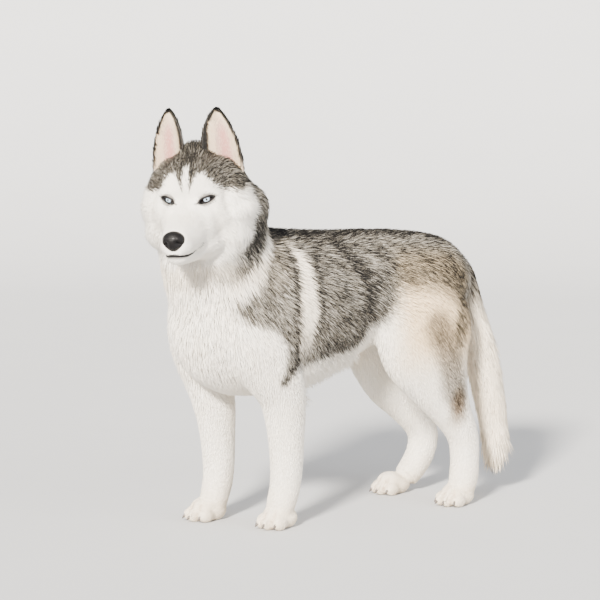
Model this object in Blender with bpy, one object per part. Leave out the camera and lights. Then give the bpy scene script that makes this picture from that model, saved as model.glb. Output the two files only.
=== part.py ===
"""Siberian husky, standing and looking to its left: a still, life-size model.

Metres, +Z up. The dog faces -Y, its left side is +X, and its paws stand on one level floor.
The flesh is modelled as lofts and balls that a voxel remesh fuses into one surface, which is
then parted into the named pieces of the body by thin cuts. Last of all the whole dog is moved
so that the origin lies under the middle of its bounding box.
"""
import math
import random

import bmesh
import bpy
from mathutils import Matrix, Vector
from mathutils.bvhtree import BVHTree

# Driving sizes of the whole dog, with its coat
WITHERS_Z = 0.577
CROUP_Z = 0.557
CHEST_HALF = 0.120
LOIN_HALF = 0.098
HIP_HALF = 0.104
GAP = 0.0003
ROOM = 0.00025
FINEST = 0.000002
NECK_END = ((0, -0.250, 0.520), (0, -0.700, 0.714))

# Fusing and thinning of the surfaces
BODY_VOXEL = 0.005
HEAD_VOXEL = 0.003
PAW_VOXEL = 0.0025
BODY_TRIANGLES = 3200
HEAD_TRIANGLES = 1750
PAW_TRIANGLES = 260
TAIL_TRIANGLES = 170

# Head: place of the point midway between the eyes, and how the head is turned
MID_EYE = Vector((0.0787, -0.3790, 0.6400))
HEAD_YAW = math.radians(41.2)
HEAD_PITCH = math.radians(9.1)
HEAD_ROLL = math.radians(2.0)

# Eyes and lids
EYE_HALF_SPAN = 0.0384
EYE_RADIUS = 0.0124
LID_THICKNESS = 0.0027
EYE_TURN_OUT = math.radians(20)
EYE_SLANT = math.radians(16)
UPPER_LID_OPEN = math.radians(21)
LOWER_LID_OPEN = math.radians(22)
EYE_FINE = (14, 10)
NOSE_FINE = (14, 10)

# Nose and mouth, in the head's own frame
NOSE_CENTRE = Vector((0.0, -0.0950, -0.0535))
NOSE_RADII = (0.0208, 0.0170, 0.0172)
NOSTRIL_SIDE = 0.0085
MOUTH_LINE = [(0.120, -0.0800), (0.100, -0.0805), (0.085, -0.0835), (0.066, -0.0840),
              (0.050, -0.0790), (0.037, -0.0715)]
LIP_GROOVE = 0.0013
JAW_BACK = [(0.026, -0.079), (0.018, -0.135), (0.120, -0.135)]

# Ears of the left side, in the head's own frame: ends and bulge of their two edges
EAR_INNER_EDGE = (Vector((0.019, 0.058, 0.066)), Vector((0.015, 0.060, 0.128)),
                  Vector((0.0435, 0.078, 0.1535)))
EAR_OUTER_EDGE = (Vector((0.088, 0.084, 0.022)), Vector((0.090, 0.082, 0.104)),
                  Vector((0.0510, 0.079, 0.1530)))
EAR_CUP_DEPTH = 0.024
EAR_THICKNESS = 0.0046

# Rows of the trunk: y, top z, bottom z, half width, share by which the top is wider
TRUNK_ROWS = [
    (-0.352, 0.425, 0.370, 0.030, 0.00),
    (-0.343, 0.462, 0.338, 0.058, 0.00),
    (-0.322, 0.505, 0.300, 0.088, 0.04),
    (-0.285, 0.545, 0.270, 0.108, 0.08),
    (-0.235, 0.568, 0.252, 0.118, 0.10),
    (-0.170, WITHERS_Z, 0.247, CHEST_HALF, 0.12),
    (-0.100, 0.571, 0.258, CHEST_HALF, 0.12),
    (-0.030, 0.566, 0.282, 0.116, 0.10),
    (0.040, 0.564, 0.308, 0.108, 0.08),
    (0.105, 0.562, 0.336, LOIN_HALF, 0.06),
    (0.165, CROUP_Z, 0.350, 0.101, 0.06),
    (0.210, 0.545, 0.355, HIP_HALF, 0.04),
    (0.248, 0.521, 0.362, 0.093, 0.02),
    (0.278, 0.488, 0.378, 0.070, 0.00),
    (0.298, 0.452, 0.400, 0.036, 0.00),
]

# Rows of the neck, under its ruff: x, y, z, half width, half depth
NECK_ROWS = [
    (0.000, -0.215, 0.400, 0.106, 0.105),
    (0.000, -0.240, 0.455, 0.107, 0.110),
    (0.001, -0.262, 0.510, 0.104, 0.106),
    (0.003, -0.276, 0.560, 0.101, 0.102),
    (0.009, -0.284, 0.605, 0.100, 0.097),
    (0.016, -0.294, 0.645, 0.094, 0.086),
    (0.024, -0.306, 0.682, 0.072, 0.064),
]

# Rows of the muzzle in the head's own frame: forward, top, bottom, half width
MUZZLE_ROWS = [
    (0.1030, -0.052, -0.080, 0.014),
    (0.0985, -0.042, -0.091, 0.022),
    (0.0870, -0.036, -0.099, 0.027),
    (0.0700, -0.031, -0.104, 0.031),
    (0.0500, -0.024, -0.107, 0.036),
    (0.0300, -0.013, -0.109, 0.043),
    (0.0120, 0.003, -0.109, 0.051),
    (-0.0100, 0.022, -0.108, 0.058),
    (-0.0400, 0.040, -0.104, 0.062),
]

# Balls of the head in its own frame: side, back, up, then their three radii
MIDDLE_BALLS = [
    (0.000, 0.070, 0.022, 0.074, 0.074, 0.060),
    (0.000, 0.032, 0.014, 0.050, 0.038, 0.034),
    (0.000, 0.034, -0.082, 0.064, 0.075, 0.040),
]
PAIRED_BALLS = [
    (0.032, 0.024, 0.014, 0.026, 0.022, 0.015),
    (0.038, 0.036, -0.006, 0.036, 0.032, 0.034),
    (0.046, 0.046, -0.030, 0.040, 0.046, 0.044),
    (0.058, 0.078, 0.012, 0.042, 0.046, 0.042),
    (0.063, 0.072, -0.022, 0.048, 0.054, 0.052),
    (0.060, 0.070, -0.042, 0.051, 0.054, 0.050),
    (0.056, 0.068, -0.062, 0.052, 0.054, 0.050),
    (0.016, -0.076, -0.066, 0.016, 0.024, 0.018),
    (0.048, 0.078, 0.036, 0.034, 0.034, 0.032),
]

# Legs of the left side as x, y, z, half width, half depth; the right fore one mirrors x
FORE_ROWS = [
    (0.060, -0.215, 0.480, 0.040, 0.080),
    (0.074, -0.225, 0.420, 0.045, 0.090),
    (0.080, -0.222, 0.370, 0.044, 0.086),
    (0.082, -0.198, 0.315, 0.041, 0.066),
    (0.080, -0.174, 0.265, 0.036, 0.048),
    (0.077, -0.164, 0.215, 0.033, 0.040),
    (0.075, -0.158, 0.160, 0.0310, 0.036),
    (0.073, -0.155, 0.110, 0.0300, 0.034),
    (0.072, -0.158, 0.075, 0.0285, 0.032),
    (0.071, -0.165, 0.050, 0.0280, 0.030),
    (0.070, -0.170, 0.030, 0.0260, 0.028),
]
FORE_FORWARD = {"left": 0.0, "right": 0.062}
SHOULDER_Z = 0.42

HIND_ROWS = {
    "left": [
        (0.050, 0.190, 0.480, 0.050, 0.084),
        (0.068, 0.174, 0.430, 0.055, 0.108),
        (0.078, 0.162, 0.375, 0.054, 0.110),
        (0.084, 0.162, 0.320, 0.047, 0.095),
        (0.086, 0.186, 0.265, 0.040, 0.068),
        (0.086, 0.218, 0.215, 0.034, 0.050),
        (0.086, 0.248, 0.170, 0.030, 0.040),
        (0.086, 0.264, 0.135, 0.028, 0.034),
        (0.086, 0.268, 0.095, 0.0275, 0.031),
        (0.086, 0.266, 0.055, 0.0280, 0.031),
        (0.086, 0.260, 0.030, 0.0270, 0.028),
    ],
    "right": [
        (-0.050, 0.195, 0.480, 0.050, 0.083),
        (-0.068, 0.190, 0.420, 0.055, 0.098),
        (-0.080, 0.184, 0.360, 0.053, 0.100),
        (-0.085, 0.184, 0.300, 0.046, 0.083),
        (-0.086, 0.208, 0.238, 0.039, 0.063),
        (-0.086, 0.246, 0.186, 0.033, 0.046),
        (-0.086, 0.278, 0.146, 0.029, 0.037),
        (-0.086, 0.292, 0.112, 0.028, 0.033),
        (-0.085, 0.284, 0.078, 0.0275, 0.031),
        (-0.084, 0.266, 0.050, 0.0280, 0.030),
        (-0.084, 0.246, 0.030, 0.0270, 0.026),
    ],
}

# Paws: where each stands, and how far it is turned
PAWS = {
    "fore_left": (Vector((0.070, -0.168, 0.0)), math.radians(4)),
    "fore_right": (Vector((-0.070, -0.243, 0.0)), math.radians(-5)),
    "hind_left": (Vector((0.086, 0.252, 0.0)), math.radians(4)),
    "hind_right": (Vector((-0.084, 0.216, 0.0)), math.radians(-4)),
}
TOE_SIDEWAYS = (-0.0250, -0.0092, 0.0092, 0.0250)
TOE_FORWARD = (0.018, 0.032, 0.032, 0.018)
TOE_RADII = (0.0108, 0.0185, 0.0150)
TOE_SPREAD = 6.0
CLAW_LENGTH = 0.013
CLAW_RADIUS = 0.0030
PAW_TOP_Z = 0.060

# Tail, hanging behind the thighs, out to the tips of its brush: x, y, z, half width, half depth
TAIL_ROWS = [
    (0.000, 0.262, 0.478, 0.026, 0.024),
    (0.002, 0.294, 0.462, 0.034, 0.030),
    (0.005, 0.316, 0.420, 0.040, 0.036),
    (0.008, 0.336, 0.350, 0.044, 0.041),
    (0.010, 0.354, 0.280, 0.045, 0.042),
    (0.012, 0.370, 0.210, 0.042, 0.040),
    (0.014, 0.380, 0.150, 0.034, 0.032),
    (0.014, 0.384, 0.095, 0.020, 0.019),
    (0.014, 0.383, 0.066, 0.008, 0.008),
]
TAIL_STEP = 0.010
TAIL_CORE_SHARE = 0.50
TAIL_LOCK_ROWS = 8
TAIL_LOCKS_ROUND = 6
TAIL_LOCK_REACH = (0.26, 1.0)

# Locks of the long coat: where their rings lie, and how wide and thick they are there
LOCK_SHARES = (0.0, 0.28, 0.58, 0.84)
LOCK_WIDTHS = (0.66, 1.0, 0.84, 0.46)
LOCK_THICKNESSES = (0.9, 1.0, 0.74, 0.44)
LOCK_SINK = 0.008
LOCK_THINNING = 0.58
LOCK_VARIETY = 0.16

# Sizes of each kind of lock: length, width, thickness, lift of the tip off the skin
TAIL_LOCK = (0.098, 0.039, 0.012, 0.0)
RUFF_LOCK = (0.080, 0.046, 0.011, 0.0120)
BIB_LOCK = (0.070, 0.040, 0.011, 0.0090)
BREECH_LOCK = (0.066, 0.032, 0.011, 0.0100)

# Rings of locks down the neck: how far they start behind the head, and how many
RUFF_ROWS = (0.012, 0.050, 0.090, 0.132)
RUFF_LOCKS_ROUND = 14

# Rows of locks on the chest and behind the thighs: height, and places to each side
BIB_ROWS = [(0.408, (-0.058, -0.019, 0.019, 0.058)), (0.372, (-0.076, -0.038, 0.0, 0.038, 0.076)),
            (0.338, (-0.056, -0.019, 0.019, 0.056))]
BREECH_ROWS = [(0.425, (0.050, 0.078)), (0.382, (0.058, 0.086)), (0.340, (0.070, 0.096))]

COLOURS = {
    "white_coat": ((0.83, 0.80, 0.74), 0.85),
    "grey_coat": ((0.33, 0.32, 0.30), 0.85),
    "ear_coat": ((0.70, 0.60, 0.52), 0.85),
    "nose_leather": ((0.025, 0.023, 0.023), 0.38),
    "eye_surface": ((0.62, 0.74, 0.82), 0.08),
    "claw_horn": ((0.09, 0.075, 0.065), 0.45),
}


def clear_scene():
    """Takes every object out of the file."""
    for thing in list(bpy.data.objects):
        bpy.data.objects.remove(thing, do_unlink=True)


def material(name):
    """The named finish, made once."""
    found = bpy.data.materials.get(name)
    if found:
        return found
    finish = bpy.data.materials.new(name)
    finish.use_nodes = True
    colour, roughness = COLOURS[name]
    shader = finish.node_tree.nodes["Principled BSDF"]
    shader.inputs["Base Color"].default_value = (*colour, 1.0)
    shader.inputs["Roughness"].default_value = roughness
    shader.inputs["Metallic"].default_value = 0.0
    return finish


def shade(thing, finish, angle=50):
    """Gives an object its finish and smooth shading."""
    thing.data.materials.clear()
    thing.data.materials.append(material(finish))
    thing.data.shade_smooth()
    thing.data.set_sharp_from_angle(angle=math.radians(angle))


def as_object(name, bm):
    """Turns a bmesh into an object of the scene and frees the bmesh."""
    mesh = bpy.data.meshes.new(name)
    bm.to_mesh(mesh)
    bm.free()
    thing = bpy.data.objects.new(name, mesh)
    bpy.context.collection.objects.link(thing)
    return thing


def twin(thing, name):
    """A copy with its own mesh."""
    copy = bpy.data.objects.new(name, thing.data.copy())
    bpy.context.collection.objects.link(copy)
    return copy


def remove(*things):
    """Takes helpers out of the file."""
    for thing in things:
        bpy.data.objects.remove(thing, do_unlink=True)


def apply_modifiers(thing):
    """Bakes the modifiers of an object into its mesh."""
    graph = bpy.context.evaluated_depsgraph_get()
    baked = bpy.data.meshes.new_from_object(thing.evaluated_get(graph))
    thing.modifiers.clear()
    thing.data = baked


def outward(bm):
    bmesh.ops.recalc_face_normals(bm, faces=bm.faces)


def spin(angle, axis):
    return Matrix.Rotation(angle, 4, axis)


def fill_in(rows, step):
    """Rows along a smooth curve through the given rows, about one step apart."""
    result = []
    last = len(rows) - 1
    for index in range(last):
        before = rows[max(index - 1, 0)]
        start, end = rows[index], rows[index + 1]
        after = rows[min(index + 2, last)]
        length = math.sqrt(sum((b - a) ** 2 for a, b in zip(start[:3], end[:3])))
        count = max(1, round(length / step))
        for part in range(count):
            t = part / count
            result.append(tuple(
                0.5 * (2 * q + (r - p) * t + (2 * p - 5 * q + 4 * r - s) * t ** 2
                       + (3 * q - p - 3 * r + s) * t ** 3)
                for p, q, r, s in zip(before, start, end, after)))
    result.append(rows[last])
    return result


def add_rings(bm, rings):
    """Closed tube through rings of points, with flat ends."""
    loops = [[bm.verts.new(point) for point in ring] for ring in rings]
    sides = len(loops[0])
    for lower, upper in zip(loops, loops[1:]):
        for k in range(sides):
            after = (k + 1) % sides
            bm.faces.new((lower[k], lower[after], upper[after], upper[k]))
    bm.faces.new(list(reversed(loops[0])))
    bm.faces.new(loops[-1])


def add_trunk(bm, rows, sides=28):
    """Upright rings along the dog's length."""
    smooth = fill_in([(y, (top + bottom) / 2, 0.0, (top - bottom) / 2, half, wide)
                      for y, top, bottom, half, wide in rows], 0.02)
    rings = []
    for y, middle, _, half_height, half_width, wide_top in smooth:
        ring = []
        for k in range(sides):
            turn = 2 * math.pi * k / sides
            across = half_width * math.cos(turn) * (1 + wide_top * math.sin(turn))
            ring.append(Vector((across, y, middle + half_height * math.sin(turn))))
        rings.append(ring)
    add_rings(bm, rings)


def limb_places(rows, step):
    """Along a path: its middle, and the two half axes of the ring square to it."""
    smooth = fill_in(rows, step)
    places = []
    for index, row in enumerate(smooth):
        ahead = Vector(smooth[min(index + 1, len(smooth) - 1)][:3])
        behind = Vector(smooth[max(index - 1, 0)][:3])
        along = (ahead - behind).normalized()
        side = (Vector((1, 0, 0)) - along * along.x).normalized()
        places.append((Vector(row[:3]), side * row[3], along.cross(side) * row[4]))
    return places


def add_limb(bm, rows, sides=20, step=0.015, frame=Matrix(), share=1.0):
    """Rings square to a path, as wide as each row says across the dog and along it."""
    rings = []
    for here, side, out in limb_places(rows, step):
        rings.append([frame @ (here + (side * math.cos(turn) + out * math.sin(turn)) * share)
                      for turn in (2 * math.pi * k / sides for k in range(sides))])
    add_rings(bm, rings)


def add_muzzle(bm, rows, frame, sides=24, squareness=0.85):
    """Rings from the nose back into the skull, squared a little."""
    rings = []
    for forward, top, bottom, half_width in rows:
        ring = []
        for k in range(sides):
            turn = 2 * math.pi * k / sides
            c, s = math.cos(turn), math.sin(turn)
            across = half_width * math.copysign(abs(c) ** squareness, c)
            up = (top - bottom) / 2 * math.copysign(abs(s) ** squareness, s)
            ring.append(frame @ Vector((across, -forward, (top + bottom) / 2 + up)))
        rings.append(ring)
    add_rings(bm, rings)


def add_ball(bm, centre, radii, frame=Matrix(), turn=Matrix(), fine=(24, 16)):
    """An ellipsoid, turned about its own centre, in the given frame."""
    place = frame @ Matrix.Translation(centre) @ turn @ Matrix.Diagonal((*radii, 1.0))
    bmesh.ops.create_uvsphere(bm, u_segments=fine[0], v_segments=fine[1], radius=1.0,
                              matrix=place)


def ball(name, centre, radii, frame=Matrix(), turn=Matrix(), fine=(24, 16)):
    """An ellipsoid as an object of its own."""
    bm = bmesh.new()
    add_ball(bm, centre, radii, frame, turn, fine)
    outward(bm)
    return as_object(name, bm)


def largest_surface(thing, shortest=0.00005):
    """Keeps only the biggest connected surface of a mesh, as triangles."""
    bm = bmesh.new()
    bm.from_mesh(thing.data)
    left = set(bm.verts)
    groups = []
    while left:
        stack = [left.pop()]
        group = set(stack)
        while stack:
            for edge in stack.pop().link_edges:
                for vert in edge.verts:
                    if vert in left:
                        left.discard(vert)
                        group.add(vert)
                        stack.append(vert)
        groups.append(group)
    keep = max(groups, key=len)
    scraps = [vert for vert in bm.verts if vert not in keep]
    bmesh.ops.delete(bm, geom=scraps, context="VERTS")
    bmesh.ops.dissolve_degenerate(bm, dist=shortest, edges=bm.edges)
    bmesh.ops.triangulate(bm, faces=bm.faces)
    bm.to_mesh(thing.data)
    bm.free()


def thin(thing, share, shortest=0.00005):
    """Collapses edges until about this share of the triangles is left."""
    collapse = thing.modifiers.new("thin", "DECIMATE")
    collapse.ratio = min(1.0, share)
    collapse.use_collapse_triangulate = True
    apply_modifiers(thing)
    largest_surface(thing, shortest)


def fused(name, bm, voxel, smoothing, triangles):
    """One smooth closed surface round all the closed shells of a bmesh, thinned."""
    outward(bm)
    thing = as_object(name, bm)
    remesh = thing.modifiers.new("remesh", "REMESH")
    remesh.mode = "VOXEL"
    remesh.voxel_size = voxel
    smooth = thing.modifiers.new("smooth", "SMOOTH")
    smooth.factor = 0.5
    smooth.iterations = smoothing
    apply_modifiers(thing)
    now = sum(len(face.vertices) - 2 for face in thing.data.polygons)
    thin(thing, triangles / now)
    return thing


def boolean(thing, other, operation, solver="EXACT", shortest=0.00005):
    """Applies one Boolean and keeps the largest surface."""
    cut = thing.modifiers.new("cut", "BOOLEAN")
    cut.operation = operation
    cut.object = other
    cut.solver = solver
    apply_modifiers(thing)
    largest_surface(thing, shortest)


def swollen(thing, amount, name):
    """A copy of a closed mesh, grown outwards by a small amount."""
    copy = twin(thing, name)
    bm = bmesh.new()
    bm.from_mesh(copy.data)
    bm.normal_update()
    shifts = [(vert, vert.normal * amount * min(vert.calc_shell_factor(), 2.0))
              for vert in bm.verts]
    for vert, shift in shifts:
        vert.co += shift
    bm.to_mesh(copy.data)
    bm.free()
    return copy


def make_room(thing, neighbour, solver="EXACT", shortest=0.00005):
    """Cuts a thing a thin gap clear of its neighbour."""
    room = swollen(neighbour, ROOM, "room")
    boolean(thing, room, "DIFFERENCE", solver, shortest)
    remove(room)


def half_kept(thing, point, normal, keep_above):
    """Cuts a mesh by a plane, closes it and keeps one side."""
    bm = bmesh.new()
    bm.from_mesh(thing.data)
    cut = bmesh.ops.bisect_plane(bm, geom=bm.verts[:] + bm.edges[:] + bm.faces[:],
                                 plane_co=point, plane_no=normal, clear_inner=keep_above,
                                 clear_outer=not keep_above, dist=0.000001)
    rim = [item for item in cut["geom_cut"] if isinstance(item, bmesh.types.BMEdge)]
    bmesh.ops.holes_fill(bm, edges=rim, sides=0)
    bm.to_mesh(thing.data)
    bm.free()
    largest_surface(thing)


def sliced(rest, name, point, normal):
    """Parts the side that the normal points to from the rest, a thin gap apart."""
    piece = twin(rest, name)
    axis = Vector(normal).normalized()
    half_kept(piece, Vector(point) + axis * GAP / 2, axis, True)
    half_kept(rest, Vector(point) - axis * GAP / 2, axis, False)
    return piece


def region(planes):
    """A big convex block that lies behind all the given planes."""
    bm = bmesh.new()
    bmesh.ops.create_cube(bm, size=3.0)
    for point, normal in planes:
        cut = bmesh.ops.bisect_plane(bm, geom=bm.verts[:] + bm.edges[:] + bm.faces[:],
                                     plane_co=point, plane_no=normal, clear_outer=True)
        rim = [item for item in cut["geom_cut"] if isinstance(item, bmesh.types.BMEdge)]
        bmesh.ops.holes_fill(bm, edges=rim, sides=0)
    outward(bm)
    return as_object("region", bm)


def split_off(rest, name, planes):
    """Parts what lies behind all the planes from the rest, a thin gap apart."""
    piece = twin(rest, name)
    inside = region(planes)
    wider = region([(Vector(point) + Vector(normal).normalized() * GAP, normal)
                    for point, normal in planes])
    boolean(piece, inside, "INTERSECT")
    boolean(rest, wider, "DIFFERENCE")
    remove(inside, wider)
    return piece


def head_frame():
    """Places the head's own frame, x to its left and -y ahead, midway between the eyes."""
    ahead = Vector((math.sin(HEAD_YAW) * math.cos(HEAD_PITCH),
                    -math.cos(HEAD_YAW) * math.cos(HEAD_PITCH), -math.sin(HEAD_PITCH)))
    level = Vector((math.cos(HEAD_YAW), math.sin(HEAD_YAW), 0.0))
    upright = level.cross(-ahead)
    left = level * math.cos(HEAD_ROLL) + upright * math.sin(HEAD_ROLL)
    up = upright * math.cos(HEAD_ROLL) - level * math.sin(HEAD_ROLL)
    turn = Matrix((left, -ahead, up)).transposed().to_4x4()
    return Matrix.Translation(MID_EYE) @ turn


def add_skull(bm, frame):
    """The masses of the head in its own frame."""
    add_muzzle(bm, MUZZLE_ROWS, frame)
    for x, y, z, *radii in MIDDLE_BALLS:
        add_ball(bm, Vector((x, y, z)), radii, frame)
    for side in (-1, 1):
        for x, y, z, *radii in PAIRED_BALLS:
            add_ball(bm, Vector((side * x, y, z)), radii, frame)


def fore_rows(side):
    """A foreleg's rows, on its side and as far ahead as it stands."""
    sign = 1 if side == "left" else -1
    ahead = FORE_FORWARD[side]
    return [(sign * x, y - ahead * min(1.0, max(0.0, (SHOULDER_Z - z) / 0.15)), z, *halves)
            for x, y, z, *halves in FORE_ROWS]


def leg_rows(end, side):
    return fore_rows(side) if end == "fore" else HIND_ROWS[side]


def neck_plane(frame):
    """The cut behind the cheeks and under the throat."""
    return frame @ Vector((0, 0.140, 0.050)), frame.to_3x3() @ Vector((0, -0.832, 0.555))


def thigh_planes(sign):
    """The slanted cut above a thigh, the cut between the two, and the one ahead."""
    return [((sign * 0.085, 0.200, 0.390), (-sign * 0.75, 0, 1)),
            ((sign * 0.003, 0, 0), (-sign, 0, 0)),
            ((0, 0.050, 0.352), (0, -0.80, 0.60))]


def build_body(frame):
    """Fuses trunk, neck and legs, then parts them into their nodes."""
    bm = bmesh.new()
    add_trunk(bm, TRUNK_ROWS)
    add_limb(bm, NECK_ROWS, 24)
    add_skull(bm, frame)
    for side in ("left", "right"):
        for end in ("fore", "hind"):
            add_limb(bm, leg_rows(end, side))
    body = fused("chest", bm, BODY_VOXEL, 12, BODY_TRIANGLES)
    skin = BVHTree.FromPolygons([vert.co.copy() for vert in body.data.vertices],
                                [tuple(face.vertices) for face in body.data.polygons])
    nodes = {}
    remove(sliced(body, "head_end", *neck_plane(frame)))
    nodes["neck"] = sliced(body, "neck", *NECK_END)
    for side, sign in (("left", 1), ("right", -1)):
        arm = split_off(body, "foreleg_upper_" + side, [
            ((sign * 0.085, -0.190, 0.295), (-sign * 0.6, 0, 1)),
            ((sign * 0.003, 0, 0), (-sign, 0, 0)), ((0, -0.080, 0), (0, 1, 0))])
        forearm = sliced(arm, "foreleg_lower_" + side, (0, 0, 0.225), (0, 0, -1))
        half_kept(forearm, (0, 0, PAW_TOP_Z + GAP / 2), (0, 0, 1), True)
        thigh = split_off(body, "thigh_" + side, thigh_planes(sign))
        shank = sliced(thigh, "shank_" + side, (0, 0.190, 0.250), (0, 0.45, -0.89))
        hock_z = 0.150 if side == "left" else 0.128
        hock = sliced(shank, "hock_" + side, (0, 0.27, hock_z), (0, 0.0, -1))
        half_kept(hock, (0, 0, PAW_TOP_Z + GAP / 2), (0, 0, 1), True)
        for node in (arm, forearm, thigh, shank, hock):
            nodes[node.name] = node
    nodes["loin"] = sliced(body, "loin", (0, -0.030, 0), (0, 1, 0))
    nodes["rump"] = sliced(nodes["loin"], "rump", (0, 0.125, 0), (0, 1, 0))
    nodes["chest"] = body
    add_coat(nodes, skin, frame)
    return nodes


def build_paws():
    """Four paws with flat soles and their claws."""
    nodes = {}
    for name, (place, heading) in PAWS.items():
        end, side = name.split("_")
        turn = Matrix.Translation(place) @ spin(heading, "Z")
        bm = bmesh.new()
        add_limb(bm, leg_rows(end, side)[-4:], 20, 0.01)
        add_ball(bm, Vector((0, 0.004, 0.018)), (0.0275, 0.034, 0.023), turn)
        add_ball(bm, Vector((0, -0.008, 0.026)), (0.0265, 0.030, 0.020), turn)
        for across, forward in zip(TOE_SIDEWAYS, TOE_FORWARD):
            add_ball(bm, Vector((across, -forward, 0.0120)), TOE_RADII, turn,
                     spin(across * TOE_SPREAD, "Z"))
        paw = fused("paw_" + name, bm, PAW_VOXEL, 3, PAW_TRIANGLES)
        half_kept(paw, (0, 0, 0), (0, 0, 1), True)
        half_kept(paw, (0, 0, PAW_TOP_Z - GAP / 2), (0, 0, 1), False)
        for number, (across, forward) in enumerate(zip(TOE_SIDEWAYS, TOE_FORWARD), 1):
            claw_name = f"claw_{name}_{number}"
            nodes[claw_name] = claw(claw_name, turn, across, forward)
            make_room(nodes[claw_name], paw, "MANIFOLD")
        nodes["paw_" + name] = paw
    return nodes


def claw(name, turn, across, forward):
    """A short curved claw that grows out of the front of its toe."""
    bm = bmesh.new()
    place = turn @ Matrix.Translation((across, -forward, 0.0)) @ spin(across * TOE_SPREAD, "Z")
    rows = []
    for step in range(4):
        t = step / 3
        rows.append((0.0, -0.012 - CLAW_LENGTH * t, 0.0145 - 0.0095 * t ** 1.6,
                     CLAW_RADIUS * (1 - 0.72 * t ** 1.5),
                     CLAW_RADIUS * 1.25 * (1 - 0.75 * t ** 1.5)))
    add_limb(bm, rows, 5, 0.02, place)
    outward(bm)
    return as_object(name, bm)


def lock(stations, width, thickness):
    """A flat, tapered, closed lock through places that give its middle, side and out."""
    bm = bmesh.new()
    rings = []
    for (here, side, out), wide, thick in zip(stations, LOCK_WIDTHS, LOCK_THICKNESSES):
        reach, depth = side * width * wide / 2, out * thickness * thick / 2
        rings.append([bm.verts.new(here + arm) for arm in (reach, depth, -reach, -depth)])
    tip = bm.verts.new(stations[-1][0])
    for near, far in zip(rings, rings[1:]):
        for k in range(4):
            bm.faces.new((near[k], near[k - 3], far[k - 3], far[k]))
    for k in range(4):
        bm.faces.new((rings[-1][k], rings[-1][k - 3], tip))
    bm.faces.new(reversed(rings[0]))
    bmesh.ops.triangulate(bm, faces=bm.faces)
    outward(bm)
    return as_object("lock", bm)


def lock_on_skin(tree, root, lie, sizes, chance):
    """A lock that follows the skin from its root, along the lie of the coat."""
    length, width, thickness, lift = sizes
    length *= 1 + chance.uniform(-LOCK_VARIETY, LOCK_VARIETY)
    lift *= 1 + chance.uniform(-LOCK_VARIETY, LOCK_VARIETY) * 3
    lie = Matrix.Rotation(chance.uniform(-LOCK_VARIETY, LOCK_VARIETY), 3, "Y") @ lie
    spot, normal = tree.find_nearest(root)[:2]
    stations = []
    before = 0.0
    for share in (*LOCK_SHARES, 1.0):
        way = (lie - normal * lie.dot(normal)).normalized()
        near, facing = tree.find_nearest(spot + way * length * (share - before))[:2]
        spot, normal = near, (normal + facing).normalized()
        before = share
        height = (LOCK_SINK + lift) * share ** 0.8 - LOCK_SINK
        stations.append((spot + normal * height, normal.cross(way).normalized(), normal))
    return lock(stations, width * (1 + chance.uniform(-LOCK_VARIETY, LOCK_VARIETY)), thickness)


def join_locks(node, locks):
    """Fuses closed locks with the node that they grow from."""
    group = bpy.data.collections.new("locks")
    for piece in locks:
        group.objects.link(piece)
    join = node.modifiers.new("join", "BOOLEAN")
    join.operation = "UNION"
    join.operand_type = "COLLECTION"
    join.collection = group
    join.solver = "MANIFOLD"
    apply_modifiers(node)
    remove(*locks)
    bpy.data.collections.remove(group)
    largest_surface(node, FINEST)
    thin(node, LOCK_THINNING, FINEST)


def beyond(point, plane, margin=0.0):
    """Whether a point lies past a plane, on the side that its normal points to."""
    return (point - Vector(plane[0])).dot(Vector(plane[1]).normalized()) > margin


def add_coat(nodes, skin, frame):
    """Locks of the ruff, the bib and the breeches, and the gaps that keep nodes apart."""
    chance = random.Random(13)
    locks = {name: [] for name in ("neck", "chest", "rump", "thigh_left", "thigh_right")}
    down = Vector((0, 0.22, -1))
    plane_point, normal = neck_plane(frame)
    level = normal.cross(Vector((0, 0, 1))).normalized()
    upright = level.cross(normal)
    neck_middles = [place[0] for place in limb_places(NECK_ROWS, 0.004)]
    for row, behind in enumerate(RUFF_ROWS):
        centre = min(neck_middles, key=lambda spot: abs((spot - plane_point).dot(normal) + behind))
        for k in range(RUFF_LOCKS_ROUND):
            turn = 2 * math.pi * (k + row % 2 / 2) / RUFF_LOCKS_ROUND
            way = level * math.cos(turn) + upright * math.sin(turn)
            hit = skin.ray_cast(centre, way)[0]
            if beyond(hit, NECK_END, 0.008 + 0.03 * max(0.0, way.y)):
                locks["neck"].append(lock_on_skin(skin, hit, down, RUFF_LOCK, chance))
    for height, places in BIB_ROWS:
        for across in places:
            hit = skin.ray_cast(Vector((across, -0.2, height)), Vector((across * 2, -1, 0)))[0]
            if not beyond(hit, NECK_END, -0.008):
                locks["chest"].append(lock_on_skin(skin, hit, down, BIB_LOCK, chance))
    for side, sign in (("left", 1), ("right", -1)):
        top = thigh_planes(sign)[0]
        for height, places in BREECH_ROWS:
            for across in places:
                start = Vector((sign * across, 0.18, height))
                hit = skin.ray_cast(start, Vector((sign * (across - 0.05) * 8, 1, 0)))[0]
                owner = "rump" if beyond(hit, top, 0.008) else "thigh_" + side
                if owner == "rump" or not beyond(hit, top, -0.008):
                    locks[owner].append(lock_on_skin(skin, hit, down, BREECH_LOCK, chance))
    for name, pieces in locks.items():
        join_locks(nodes[name], pieces)
    behind_head = region([(plane_point - normal * GAP / 2, normal)])
    boolean(nodes["neck"], behind_head, "INTERSECT", "MANIFOLD", FINEST)
    remove(behind_head)
    for upper, lower in (("neck", "chest"), ("chest", "foreleg_upper_left"),
                         ("chest", "foreleg_upper_right"), ("rump", "thigh_left"),
                         ("rump", "thigh_right"), ("thigh_left", "shank_left"),
                         ("thigh_right", "shank_right")):
        make_room(nodes[upper], nodes[lower], "MANIFOLD", FINEST)


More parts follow.
